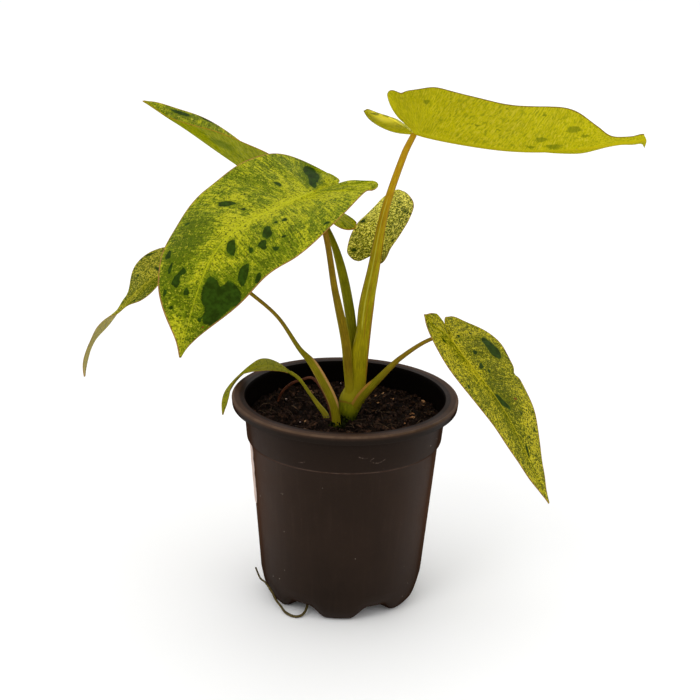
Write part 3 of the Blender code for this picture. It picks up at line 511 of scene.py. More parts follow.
class Nodes:
    """Builds one material's node tree. Its colours are laid one over another."""

    def __init__(self, name, specular, tint=(1.0, 1.0, 1.0)):
        self.material = bpy.data.materials.new(name)
        self.material.use_nodes = True
        self.tree = self.material.node_tree
        self.shader = self.tree.nodes["Principled BSDF"]
        self.colour = None
        # the gloss fades where the surface is seen along itself, so that the pale room doesn't veil its colour
        facing = self.add("LayerWeight", {"Blend": 0.5}).outputs["Facing"]
        self.gloss = self.step(facing, 0.78, 0.35, 0, specular)
        self.put(self.shader, "Specular IOR Level", self.gloss)
        self.put(self.shader, "Specular Tint", tint)

    def put(self, node, key, value):
        if isinstance(value, bpy.types.NodeSocket):
            self.tree.links.new(value, node.inputs[key])
        elif isinstance(value, tuple) and len(value) == 3 and node.inputs[key].type == "RGBA":
            node.inputs[key].default_value = (*value, 1)
        else:
            node.inputs[key].default_value = value

    def add(self, kind, inputs=(), **settings):
        node = self.tree.nodes.new("ShaderNode" + kind)
        for key, value in settings.items():
            setattr(node, key, value)
        for key, value in dict(inputs).items():
            self.put(node, key, value)
        return node

    def attribute(self, name):
        return self.add("Attribute", attribute_name=name).outputs["Vector"]

    def parts(self, vector):
        return self.add("SeparateXYZ", {0: vector}).outputs

    def maths(self, operation, a, b=0.0):
        return self.add("Math", {0: a, 1: b}, operation=operation).outputs[0]

    def times(self, first, *others):
        for other in others:
            first = self.maths("MULTIPLY", first, other)
        return first

    def off(self, value, middle):
        return self.maths("ABSOLUTE", self.maths("SUBTRACT", value, middle))

    def total(self, *terms):
        """The sum of sockets, each times its weight."""
        result = None
        for socket, weight in terms:
            term = self.maths("MULTIPLY", socket, weight)
            result = term if result is None else self.maths("ADD", result, term)
        return result

    def scaled(self, vector, *scale):
        return self.add("VectorMath", {0: vector, 1: scale}, operation="MULTIPLY").outputs[0]

    def position(self):
        """The place in millimetres, which stays on the piece."""
        return self.scaled(self.add("TexCoord").outputs["Object"], 1 / MM, 1 / MM, 1 / MM)

    def noise(self, vector, scale, detail=2.0, rough=0.5, distortion=0.0):
        keys = {"Vector": vector, "Scale": scale, "Detail": detail, "Roughness": rough}
        return self.add("TexNoise", {**keys, "Distortion": distortion}).outputs["Fac"]

    def streaks(self, vector, stretch, *noise):
        """Noise that runs on along a flat layer's second axis, the more the smaller stretch is."""
        return self.noise(self.scaled(vector, 1.0, stretch, 0.0), *noise)

    def cells(self, vector, scale):
        return self.add("TexVoronoi", {"Vector": vector, "Scale": scale}).outputs["Distance"]

    def step(self, value, low, high, out_low=0.0, out_high=1.0):
        """A smooth step of value from low to high."""
        keys = {"Value": value, "From Min": low, "From Max": high, "To Min": out_low, "To Max": out_high}
        return self.add("MapRange", keys, interpolation_type="SMOOTHSTEP", clamp=True).outputs[0]

    def band(self, value, rise, fall):
        """A mask that comes in over the first range and goes over the second."""
        return self.times(self.step(value, *rise), self.step(value, fall[1], fall[0]))

    def mix(self, share, a, b):
        return self.add("Mix", {0: share, 6: a, 7: b}, data_type="RGBA").outputs[2]

    def cover(self, colour, mask):
        self.colour = self.mix(mask, self.colour, colour)

    def lay(self, colour, value, low, high, share=1.0):
        """Lays a colour over the others where value steps from low to high."""
        self.cover(colour, self.step(value, low, high, 0, share))

    def finish(self, roughness, height, strength, depth):
        """The material, with its colour, roughness and a bump whose depth is in millimetres."""
        bump = self.add("Bump", {"Height": height, "Strength": strength, "Distance": depth * MM})
        self.put(self.shader, "Base Color", self.colour)
        self.put(self.shader, "Roughness", roughness)
        self.put(self.shader, "Normal", bump.outputs[0])
        return self.material


def link_object(name, data):
    obj = bpy.data.objects.new(name, data)
    bpy.context.scene.collection.objects.link(obj)
    return obj


def mesh_object(name, bm):
    """An object with a bmesh's mesh."""
    mesh = bpy.data.meshes.new(name)
    bm.to_mesh(mesh)
    bm.free()
    return link_object(name, mesh)


def smooth_values(stops, values, at):
    """The values at many places along smoothly joined stops."""
    stops, values = np.asarray(stops, float), np.asarray(values, float)
    at = np.clip(np.asarray(at, float), stops[0], stops[-1])
    last = len(stops) - 1
    i = np.clip(np.searchsorted(stops, at, side="left") - 1, 0, last - 1)

    def slope(k):
        before, after = np.maximum(k - 1, 0), np.minimum(k + 1, last)
        rise, run = values[after] - values[before], stops[after] - stops[before]
        return rise / (run[..., None] if values.ndim > 1 else run)

    span = stops[i + 1] - stops[i]
    t = (at - stops[i]) / span
    if values.ndim > 1:
        t, span = t[..., None], span[..., None]
    return (
        values[i] * (1 + 2 * t) * (1 - t) ** 2
        + values[i + 1] * t * t * (3 - 2 * t)
        + slope(i) * span * t * (1 - t) ** 2
        - slope(i + 1) * span * t * t * (1 - t)
    )


def unit(vectors):
    return vectors / np.maximum(np.linalg.norm(vectors, axis=-1, keepdims=True), 1e-9)


def piece(
    name, verts, faces, materials, slot, replaces,
    layers=None, chosen=None, sharp=None, smooth=True, turn=True,
):
    """A closed mesh piece from millimetres, riding on the plant's body. Chosen has each face's material."""
    mesh = bpy.data.meshes.new(name)
    mesh.from_pydata((np.asarray(verts, float) * MM).tolist(), [], [tuple(int(i) for i in f) for f in faces])
    for key, values in (layers or {}).items():
        layer = mesh.attributes.new(key, "FLOAT_VECTOR", "POINT")
        layer.data.foreach_set("vector", np.asarray(values, np.float32).ravel())
    mesh.polygons.foreach_set("use_smooth", [smooth] * len(mesh.polygons))
    for material in materials:
        mesh.materials.append(material)
    if chosen is not None:
        mesh.polygons.foreach_set("material_index", np.asarray(chosen, np.int32))
    if sharp is not None:
        mesh.set_sharp_from_angle(angle=math.radians(sharp))
    mesh.update()
    obj = link_object(name, mesh)
    if turn:
        turn_outwards(obj)
    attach(obj, BODY)
    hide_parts(*replaces)
    return obj


def grid_faces(rows, columns, offset=0, around=False, flip=False):
    """Quads of a grid of rows by columns of vertices."""
    i, j = np.meshgrid(np.arange(rows - 1), np.arange(columns if around else columns - 1), indexing="ij")
    after = (j + 1) % columns
    here, below = i * columns, (i + 1) * columns
    quads = np.stack([here + j, here + after, below + after, below + j], -1).reshape(-1, 4) + offset
    return quads[:, ::-1] if flip else quads


def grid_border(rows, columns):
    """The rows and the columns of the vertices round a grid's edge, in order."""
    across, down = range(columns), range(1, rows)
    border = [(0, k) for k in across] + [(i, columns - 1) for i in down]
    border += [(rows - 1, k) for k in across[-2::-1]] + [(i, 0) for i in down[-2::-1]]
    return np.array(border).T


def joined(parts):
    """Vertices and faces of many meshes as one."""
    verts, faces, total = [], [], 0
    for part_verts, part_faces, _ in parts:
        verts.append(part_verts)
        faces += [tuple(i + total for i in face) for face in part_faces]
        total += len(part_verts)
    return np.vstack(verts), faces


def in_mark(mark, across, along):
    """Places in a mark's own terms: along and across its long axis, 1 at its ends."""
    x, y, long, wide, angle, _ = mark
    c, s = math.cos(math.radians(angle)), math.sin(math.radians(angle))
    return ((across - x) * c + (along - y) * s) / long, (-(across - x) * s + (along - y) * c) / wide


class Blade:
    """Maps a flat blade, in millimetres across and along its midrib, into its grown shape."""

    def __init__(self, leaf):
        self.leaf = leaf
        self.length, self.lobe, self.half_width = leaf["length"], leaf["lobe"], leaf["half_width"]
        self.stops = [-self.lobe, 0.0, self.length / 3, self.length * 2 / 3, self.length]
        self.step = (self.length + self.lobe) / MIDRIB_STEPS
        places = -self.lobe + (np.arange(MIDRIB_STEPS) + 0.5) * self.step
        self.points = np.vstack([np.zeros(3), np.cumsum(self.axes(places)[0] * self.step, axis=0)])
        self.points += np.array(leaf["base"]) - self.midrib(np.array([0.0]))[0]

    def angle(self, name, along):
        return np.radians(smooth_values(self.stops, self.leaf[name], along))

    def midrib(self, along):
        place = np.clip((along + self.lobe) / self.step, 0, MIDRIB_STEPS)
        i = np.minimum(place.astype(int), MIDRIB_STEPS - 1)
        return self.points[i] + (self.points[i + 1] - self.points[i]) * (place - i)[..., None]

    def axes(self, along):
        """Unit vectors along the midrib, to the right and up from the blade."""
        heading, pitch, roll = (self.angle(n, along) for n in ("heading", "pitch", "roll"))
        east, north = np.cos(heading), np.sin(heading)
        forward = np.stack([np.cos(pitch) * east, np.cos(pitch) * north, np.sin(pitch)], -1)
        level = np.stack([north, -east, np.zeros_like(heading)], -1)
        above = np.cross(level, forward)
        right = level * np.cos(roll)[..., None] + above * np.sin(roll)[..., None]
        return forward, right, np.cross(right, forward)

    def at(self, across, along):
        """Points of the upper face, and the way out of it."""
        _, right, up = self.axes(along)
        is_right = across >= 0
        side = np.where(is_right[..., None], right, -right)
        distance = np.abs(across)
        fold = np.where(is_right, self.angle("fold_right", along), self.angle("fold_left", along))
        curl = np.where(is_right, self.angle("curl_right", along), self.angle("curl_left", along))
        bend = curl / self.half_width * distance
        middle, angle = (fold + bend / 2)[..., None], (fold + bend)[..., None]
        point = self.midrib(along) + (side * np.cos(middle) + up * np.sin(middle)) * distance[..., None]
        return point, unit(up * np.cos(angle) - side * np.sin(angle))

    def margin(self, share, side):
        """Flat points of a half's margin, from beside the sinus round the lobe to the tip. Side is -1 or 1."""
        marks = self.leaf["outline"]
        if side > 0:
            marks = self.leaf.get("outline_right", marks)
        lengths = [m[1] * (self.lobe if m[1] < 0 else self.length) for m in marks]
        at = share * (len(marks) - 1)
        stops = range(len(marks))
        across = smooth_values(stops, [m[0] for m in marks], at) * self.half_width
        return across, smooth_values(stops, lengths, at)

    def vein_foot(self, share, along):
        forward = np.maximum(along, 0) / self.length
        return self.length * (0.03 * share * (1 - forward) + forward**VEIN_SWEEP)


def patch_field(patches, across, along):
    """How strongly each place lies in one of the patches. It is 0.5 at a full patch's edge."""
    field = np.zeros_like(across)
    for patch in patches:
        x, y, long, wide, _, strength = patch
        u, v = in_mark(patch, across, along)
        turn, loose = np.arctan2(v, u), min(3.0 / max(long, wide), 1.0)
        ragged = 0.16 * np.sin(3 * turn + x) + 0.11 * np.sin(5 * turn + y) + 0.06 * np.sin(8 * turn + x + y)
        inside = np.clip(1.25 - 0.75 * np.sqrt(u * u + v * v) * (1 + loose * ragged), 0, 1)
        field = np.maximum(field, inside * strength)
    return field


def cloud_field(clouds, across, along):
    """The sum of soft clouds, each strongest in its middle."""
    field = np.zeros_like(across)
    for cloud in clouds:
        u, v = in_mark(cloud, across, along)
        field += cloud[-1] * np.exp(-(u * u + v * v))
    return field


def lay_out(blade, rows, half):
    """A blade's grid: shares of the margin and of the way out, flat places, and each row's margin."""
    share = np.linspace(0, 1, rows + 1)[:, None]
    out = np.linspace(-1, 1, 2 * half + 1)[None, :]
    out = np.sign(out) * np.abs(out) ** 0.9 * np.ones((rows + 1, 1))
    edges = [blade.margin(share, side) for side in (-1, 1)]
    edge_across, edge_along = (np.where(out < 0, left, right) for left, right in zip(*edges))
    left_foot, right_foot = (blade.vein_foot(share, edge[1]) for edge in edges)
    middle_foot = (left_foot + right_foot) / 2
    foot = np.where(out < 0, left_foot, right_foot)
    foot = middle_foot + (foot - middle_foot) * np.minimum(np.abs(out) * 4, 1)
    across = edge_across * out
    along = foot + (edge_along - foot) * np.abs(out) ** VEIN_BOW
    margin_gap = np.hypot(edge_across - np.abs(across), edge_along - along)
    length = np.hypot(np.diff(edges[0][0][:, 0]), np.diff(edges[0][1][:, 0])).sum()
    return np.broadcast_to(share, across.shape), out, across, along, margin_gap, length


def close_sheet(top, bottom):
    """A sheet's two faces joined by a rounded rim. Its rim's vertices follow those of the faces."""
    rows, columns = top.shape[:2]
    count = rows * columns
    i, k = grid_border(rows, columns)
    inner = np.clip(i, 1, rows - 2), np.clip(k, 1, columns - 2)
    rim = (top[i, k] + bottom[i, k]) / 2 + unit(top[i, k] - top[inner]) * RIM_OUT
    number, ring = i * columns + k, 2 * count + np.arange(len(i))
    after, ring_after = np.roll(number, -1), np.roll(ring, -1)
    faces = np.concatenate([
        grid_faces(rows, columns, 0),
        grid_faces(rows, columns, count, flip=True),
        np.stack([number, ring, ring_after, after], -1),
        np.stack([ring, count + number, count + after, ring_after], -1),
    ])
    below = np.repeat([0, 1, 0, 1], [(rows - 1) * (columns - 1)] * 2 + [len(i)] * 2)
    return np.concatenate([top.reshape(-1, 3), bottom.reshape(-1, 3), rim]), faces, below, number


def roll_end(rule, across, along):
    """Flat places with a lobe's end rolled, and how far the roll lifts them."""
    (x, y), way, radius, side = rule
    way = np.array(way) / np.hypot(*way)
    past = np.maximum((across - x) * way[0] + (along - y) * way[1], 0) * (np.sign(across) == np.sign(x))
    angle = past / radius
    shift = past - radius * np.sin(angle)
    return across - way[0] * shift, along - way[1] * shift, side * radius * (1 - np.cos(angle))


def make_blade(name, leaf, look, rng):
    blade = Blade(leaf)
    rows, half = SMALL_GRID if leaf["half_width"] < SMALL_LEAF else (BLADE_ROWS, HALF_COLUMNS)
    share, out, across, along, margin_gap, length = lay_out(blade, rows, half)
    size = leaf["half_width"] / FULL_WIDTH
    # relief: swellings between the veins, waves by the margin, and a groove over the midrib
    forward = np.clip(along / blade.length, 0, 1)
    swell = np.sin(math.pi * share * VEINS) ** 2 * np.sin(math.pi * np.abs(out)) * SWELL_HEIGHT * size
    phases = rng.uniform(0, 2 * math.pi, (2, len(MARGIN_WAVES)))
    side = (out > 0).astype(int)
    waves = sum(
        np.sin(2 * math.pi * share * rate + phases[side, k]) * high
        for k, (rate, high) in enumerate(MARGIN_WAVES)
    ) * np.abs(out) ** 3 * size
    rib = np.exp(-((across / ((1.5 - 0.9 * forward) * (0.5 + 0.5 * size))) ** 2)) * (1 - forward) ** 0.5
    lift = BLADE_TOP + swell + waves * (1 - forward**8) - GROOVE_DEPTH * rib
    flat_across, flat_along = across, along
    if name in ROLLS:
        flat_across, flat_along, rolled = roll_end(ROLLS[name], across, along)
        lift = lift + rolled
    points, normals = blade.at(flat_across, flat_along)
    top = points + normals * lift[..., None]
    for (x, y), reach, push in PULLS.get(name, ()):
        weight = np.exp(-((across - x) ** 2 + (along - y) ** 2) / reach**2)
        top = top + weight[..., None] * np.array(push)
    thick = (THICK_MARGIN + (THICK_MIDDLE - THICK_MARGIN) * (1 - np.abs(out) ** 4)) * (0.7 + 0.3 * size)
    thick = thick + RIB_HEIGHT * (0.45 + 0.55 * size) * rib
    verts, faces, below, number = close_sheet(top, top - normals * thick[..., None])
    # layers for the colours: flat place, place along the veins, marks, and what changes over the blade
    seed = np.full_like(across, rng.uniform(0, 100))
    vein = np.abs((share * VEINS + 0.5) % 1 - 0.5) / VEINS * length
    brown = patch_field(BROWN_SPOTS.get(name, ()), across, along)
    density = look["specks"] * (0.6 + 0.4 * forward + 0.25 * np.abs(out) ** 2)
    layers = {
        "flat": (across, along, seed),
        "lie": (share * length * np.sign(out) + seed, np.abs(out) * leaf["half_width"], margin_gap),
        "tint": (patch_field(PATCHES[name], across, along), brown, vein),
        "grow": (density, cloud_field(CLOUDS.get(name, ()), across, along), forward),
    }
    for key, values in layers.items():
        face = np.stack(values, -1).reshape(-1, 3)
        layers[key] = np.concatenate([face, face, face[number]])
    materials = [leaf_material(kind + name, look, kind != "leaf_", size) for kind in ("leaf_", "leaf_under_")]
    piece("leaf_" + name, verts, faces, materials, "leaf", ["blade_" + name], layers, below)


def turn_outwards(obj):
    """Makes every face of a closed piece face outwards."""
    bm = bmesh.new()
    bm.from_mesh(obj.data)
    bmesh.ops.recalc_face_normals(bm, faces=bm.faces)
    bm.to_mesh(obj.data)
    bm.free()


def shade(colour, factor):
    return tuple(min(c * factor, 1.0) for c in colour)


def tinted(colour, *factors):
    return tuple(c * factor for c, factor in zip(colour, factors))


def upper_colour(n, look, size):
    """Marbling that runs out along the side veins, with specks, flecks and dark patches."""
    flat, lie, tint, grow = (n.attribute(key) for key in ("flat", "lie", "tint", "grow"))
    across = n.maths("ABSOLUTE", n.parts(flat)[0])
    patch, (density, greener, forward) = n.parts(tint)[0], n.parts(grow)
    ground, cloud, rate = look["ground"], look["cloud"], look["fine"]
    streaks = n.streaks(lie, 0.12, 0.9, 3, 0.6)
    lines = n.streaks(lie, 0.05, 1.6, 2)
    broad = n.streaks(lie, 0.5, 0.05, 2)
    mottle = n.streaks(lie, 0.45, 0.22, 4, 0.65, 0.8)
    dashes = n.streaks(lie, 0.22, 1.25, 2, 0.6, 0.4)
    fine = n.noise(flat, 1.9, 2, 0.6)
    middle = 0.75 - look["green"]
    cover = n.total((broad, 0.4), (mottle, 0.5), (streaks, 0.35), (lines, 0.25), (greener, 1.0))
    n.colour = ground
    n.lay(cloud, cover, middle - 0.05, middle + 0.06, 0.9)
    n.lay(shade(cloud, 0.45), cover, middle + 0.08, middle + 0.20, 0.75)
    n.lay(shade(ground, 1.08), lines, 0.42, 0.34, 0.4)
    n.lay(shade(cloud, 0.5), lines, 0.56, 0.64, 0.5)
    along_rib = n.total((across, 1.0), (mottle, 10 * size), (forward, 9 * size))
    n.lay(shade(ground, 1.08), along_rib, 12 * size, 6 * size, 0.8)
    n.lay(shade(cloud, 0.38), dashes, 0.60, 0.66, 0.8)
    grains = n.total((n.noise(flat, 1.15 * rate, 1, 0.5, 1.0), 1.0), (cover, 0.45))
    share = min(0.7 * look["specks"], 0.95)
    n.lay(shade(cloud, 0.45), grains, 0.89, 0.94, share)
    n.lay(look["fleck"], grains, 0.80, 0.74, share)
    n.lay(shade(cloud, 0.8), n.total((greener, 1.0), (mottle, 0.3)), 0.22, 0.34, 0.65)
    dots = n.cells(n.scaled(flat, 1.0, 0.8, 1.0), 0.80 * rate)
    dots = n.total((dots, 1.0), (n.noise(flat, 2.2 * rate, 2, 0.6), 0.5), (density, -0.12))
    n.lay(shade(cloud, 0.35), dots, 0.62, 0.52, look["dots"])
    dark = n.noise(n.scaled(flat, 1.0, 1.0, 1.7), 0.95, 2, 0.7, 0.6)
    n.lay(DARK_SPECK, n.total((dark, 1.0), (density, 0.09)), 0.62, 0.65, 0.9)
    pale = n.noise(n.scaled(flat, 1.0, 1.0, -1.3), 0.90, 3, 0.75, 0.8)
    n.lay(look["fleck"], n.total((pale, 1.0), (density, 0.09)), 0.635, 0.70, 0.85)
    edge = n.total((patch, 1.0), (fine, 0.32))
    depth = n.step(n.noise(flat, 0.35, 3, 0.6), 0.35, 0.7)
    n.lay(shade(cloud, 0.8), edge, 0.34, 0.56, 0.55)
    n.lay(n.mix(depth, shade(DEEP_GREEN, 0.8), shade(DEEP_GREEN, 1.7)), edge, 0.64, 0.72, 0.97)
    n.lay(shade(ground, 1.12), n.total((across, 1 / size), (forward, 0.9)), 1.2, 0.5, 0.6)


def under_colour(n, look, size):
    """A duller face, with short dark streaks between the side veins and a pale rib."""
    flat, lie, tint, grow = (n.attribute(key) for key in ("flat", "lie", "tint", "grow"))
    across, patch, greener = n.maths("ABSOLUTE", n.parts(flat)[0]), n.parts(tint)[0], n.parts(grow)[1]
    base = look["under"]
    green = tinted(base, 0.50, 0.60, 1.5)
    pale = (base[0] * 1.25, base[1] * 1.18, base[2] + 0.03)
    streaks = n.streaks(lie, 0.10, 1.1, 3, 0.6)
    dashes = n.streaks(lie, 0.28, 1.15, 2, 0.6, 0.4)
    n.colour = shade(base, 1.10)
    n.lay(shade(base, 0.94), n.streaks(lie, 0.55, 0.085, 4, 0.55, 0.6), 0.35, 0.65)
    n.lay(green, streaks, 0.50, 0.64, 0.60)
    n.lay(pale, streaks, 0.46, 0.36, 0.50)
    n.lay(green, dashes, 0.54, 0.61, 0.70)
    n.lay(pale, dashes, 0.44, 0.38, 0.45)
    # painted light, in part: where a blade is yellower its underside is laid much paler, its own pale colour
    # raised further to make up for the shade where the tall leaf's lobe faces down
    n.lay(shade(pale, 1.8), greener, -0.05, -0.20, 0.9)
    n.lay(look["under_cloud"], n.total((patch, 1.0), (n.noise(flat, 1.9, 2, 0.6), 0.5)), 0.60, 0.85, 0.7)
    n.lay(tinted(base, 0.98, 0.92, 1.4), across, 1.4 * size, 0.5 * size, 0.9)


def leaf_material(name, look, under, size):
    n = Nodes(name, LEAF_SPECULAR, LEAF_SPECULAR_TINT)
    flat, lie = n.attribute("flat"), n.attribute("lie")
    _, brown, vein = n.parts(n.attribute("tint"))
    (under_colour if under else upper_colour)(n, look, size)
    fine = n.noise(flat, 1.9, 2, 0.6)
    n.lay(SPOT_BROWN, n.total((brown, 1.0), (fine, 1.0)), 0.95, 1.15, 0.9)
    margin_gap = n.total((n.parts(lie)[2], 1.0), (n.noise(flat, 0.5, 2), 0.8))
    n.lay(look["margin"], margin_gap, 0.6 + 0.5 * size, 0.4 + 0.35 * size, 0.8)
    streaks = n.streaks(lie, 0.16, 1.1, 3, 0.6)
    height = n.total((n.step(vein, 0.0, 1.2), 0.6), (streaks, 0.5), (fine, 0.35))
    return n.finish(n.step(fine, 0.2, 0.8, 0.40, 0.56), height, 0.55, 0.25)


class Route:
    """A smooth curve through points, with a radius that changes along it."""

    def __init__(self, points, radii):
        self.points, self.radii = np.array(points, float), np.array(radii, float)
        steps = np.linalg.norm(np.diff(self.points, axis=0), axis=1)
        self.stops = np.concatenate([[0], np.cumsum(steps)])

    def at(self, share):
        return smooth_values(self.stops, self.points, self.stops[-1] * share)

    def radius(self, share):
        return smooth_values(self.stops, self.radii, self.stops[-1] * share)


def tube(route, rings, sides, ridges=(), rough=None, taper=(0.0, 0.0)):
    """Vertices, faces and layers of a closed tube. Angles are counted from the viewer's side."""
    share = np.linspace(0, 1, rings)
    path = route.at(share)
    ways = unit(np.gradient(path, axis=0))
    front = unit(VIEWER - ways * (ways @ VIEWER)[:, None])
    side = np.cross(ways, front)
    turn = np.linspace(0, 2 * math.pi, sides, endpoint=False)
    radius = route.radius(share)[:, None] * np.ones((1, sides))
    stripe = np.zeros_like(radius)
    for angle, half, high, start, end, brown in ridges:
        away = (turn - math.radians(angle) + math.pi) % (2 * math.pi) - math.pi
        fade = np.clip((share - start) / 0.05, 0, 1) * np.clip((end - share) / 0.08, 0, 1)
        shape = np.exp(-((away / math.radians(half)) ** 2))[None, :] * fade[:, None]
        radius = radius * (1 + high * shape)
        stripe = np.where(np.abs(shape * brown) > np.abs(stripe), shape * brown, stripe)
    if rough is not None:
        radius = radius * (1 + rough.normal(0, 0.02, radius.shape))
    length = share * route.stops[-1]
    for start, away in ((taper[0], length), (taper[1], length[-1] - length)):
        if start:
            radius = radius * np.sqrt(np.clip(1 - (1 - np.clip(away / start, 0, 1)) ** 2, 0.01, 1))[:, None]
    verts = path[:, None] + radius[..., None] * (
        front[:, None] * np.cos(turn)[None, :, None] + side[:, None] * np.sin(turn)[None, :, None]
    )
    around = np.abs((turn + math.pi) % (2 * math.pi) - math.pi)[None, :] * radius
    lie = np.stack([around, np.broadcast_to(length[:, None], radius.shape), stripe], -1).reshape(-1, 3)
    faces = [tuple(f) for f in grid_faces(rings, sides, around=True)]
    faces.append(tuple(range(sides - 1, -1, -1)))
    faces.append(tuple(range((rings - 1) * sides, rings * sides)))
    return verts.reshape(-1, 3), faces, {"lie": lie}


def stalk_material(name, source, length):
    n = Nodes(name, STALK_SPECULAR, LEAF_SPECULAR_TINT)
    lie = n.attribute("lie")
    _, along, stripe = n.parts(lie)
    base, (start, end) = source["colour"], source["turn"]
    lines = n.streaks(lie, 0.07, 2.4, 3, 0.6)
    clouds = n.noise(n.scaled(lie, 0.5, 0.25, 0.0), 0.25, 3, 0.55)
    spots = n.streaks(lie, 0.6, 2.6, 2, 0.6)
    reach = n.total((along, 1.0), (clouds, 0.1 * length))
    n.colour = base
    n.lay(shade(base, 0.72), clouds, 0.35, 0.65)
    n.lay(source["top"], reach, (start + 0.05) * length, (end + 0.05) * length)
    n.lay(shade(base, 1.45), lines, 0.50, 0.66, 0.55)
    n.lay(shade(base, 0.5), lines, 0.47, 0.36, 0.50)
    n.lay(source["edge"], stripe, 0.25, 0.75, 0.85)
    n.lay(PALE_FLECK, stripe, -0.25, -0.75, 0.6)
    n.lay(shade(base, 0.3), spots, 0.60, 0.66, 0.3)
    if "foot" in source:
        n.lay(source["foot"], reach, 28.0, 12.0, 0.9)
    return n.finish(n.step(lines, 0.3, 0.7, 0.34, 0.5), n.total((lines, 1.0), (spots, 0.3)), 0.5, 0.25)


def make_petiole(name, source, base):
    route = Route([*source["route"], base], source["radii"])
    verts, faces, layers = tube(route, *PETIOLE_GRID, source["ridges"], taper=(0.0, 1.5))
    material = stalk_material("petiole_" + name, source, route.stops[-1])
    piece("stalk_" + name, verts, faces, [material], "petiole", ["petiole_" + name], layers)


def round_corners(profile, radius, steps):
    """The profile with each inner corner replaced by a short curve."""
    done = [profile[0]]
    for before, here, after in zip(profile, profile[1:], profile[2:]):
        before, here, after = (np.array(p, float) for p in (before, here, after))
        first, second = before - here, after - here
        reach = min(radius, np.linalg.norm(first) * 0.45, np.linalg.norm(second) * 0.45)
        start = here + first / np.linalg.norm(first) * reach
        end = here + second / np.linalg.norm(second) * reach
        for t in np.linspace(0, 1, steps + 1):
            done.append(tuple(start * (1 - t) ** 2 + here * 2 * t * (1 - t) + end * t * t))
    done.append(profile[-1])
    return done


def outer_profile():
    return [(0.0, 0.0), *UNDERSIDE, *CORNER, SHOULDER, *COLLAR]


def inner_profile(distance):
    """The outer profile carried on to the lip's top and moved inwards."""
    profile = [*outer_profile(), (COLLAR[-1][0] + 0.6, POT_HEIGHT)]
    moved = [(0.0, distance)]
    for before, here, after in zip(profile, profile[1:], profile[2:]):
        ways = []
        for start, end in ((before, here), (here, after)):
            dx, dz = end[0] - start[0], end[1] - start[1]
            size = math.hypot(dx, dz)
            ways.append((-dz / size, dx / size))
        nx, nz = ways[0][0] + ways[1][0], ways[0][1] + ways[1][1]
        scale = distance / (1 + ways[0][0] * ways[1][0] + ways[0][1] * ways[1][1])
        moved.append((here[0] + nx * scale, here[1] + nz * scale))
    return moved


def arch_lift(verts):
    """Lifts the pot's bottom where it lies in an arch between two feet."""
    x, y, z = verts.T
    radius = np.hypot(x, y)
    angle = np.degrees(np.arctan2(y, x)) + 90 - FOOT_TURN
    spacing = 360 / FEET
    from_arch = np.abs((angle % spacing) - spacing / 2)
    share = np.clip((ARCH_ANGLES[1] - from_arch) / (ARCH_ANGLES[1] - ARCH_ANGLES[0]), 0, 1)
    inward = np.clip((radius - LIFT_RADII[0]) / (LIFT_RADII[1] - LIFT_RADII[0]), 0, 1)
    fade = np.maximum(1 - z / LIFT_FADE_HEIGHT, 0)
    lift = FOOT_LIFT * fade * share**2 * (3 - 2 * share) * inward**2 * (3 - 2 * inward)
    return np.stack([x, y, z + lift], -1)


def revolve(profile, segments):
    """Vertices and faces of a profile turned about Z. Both of its ends lie on the axis."""
    ring = np.array(profile[1:-1])
    angle = np.radians(-90 + FOOT_TURN + 360 * np.arange(segments) / segments)
    x, y = ring[:, :1] * np.cos(angle), ring[:, :1] * np.sin(angle)
    verts = np.stack([x, y, np.broadcast_to(ring[:, 1:], x.shape)], -1).reshape(-1, 3)
    faces = [tuple(f) for f in grid_faces(len(ring), segments, around=True)]
    verts = np.vstack([verts, [0, 0, profile[0][1]], [0, 0, profile[-1][1]]])
    first, last = len(verts) - 2, len(verts) - 1
    top = (len(ring) - 1) * segments
    for k in range(segments):
        after = (k + 1) % segments
        faces += [(first, after, k), (last, top + k, top + after)]
    return verts, faces


def fine_walls(profile, longest):
    """The profile with its long straight stretches divided."""
    done = [profile[0]]
    for before, here in zip(profile, profile[1:]):
        pieces = max(int(math.dist(before, here) / longest), 1)
        for k in range(1, pieces + 1):
            done.append(tuple(b + (h - b) * k / pieces for b, h in zip(before, here)))
    return done


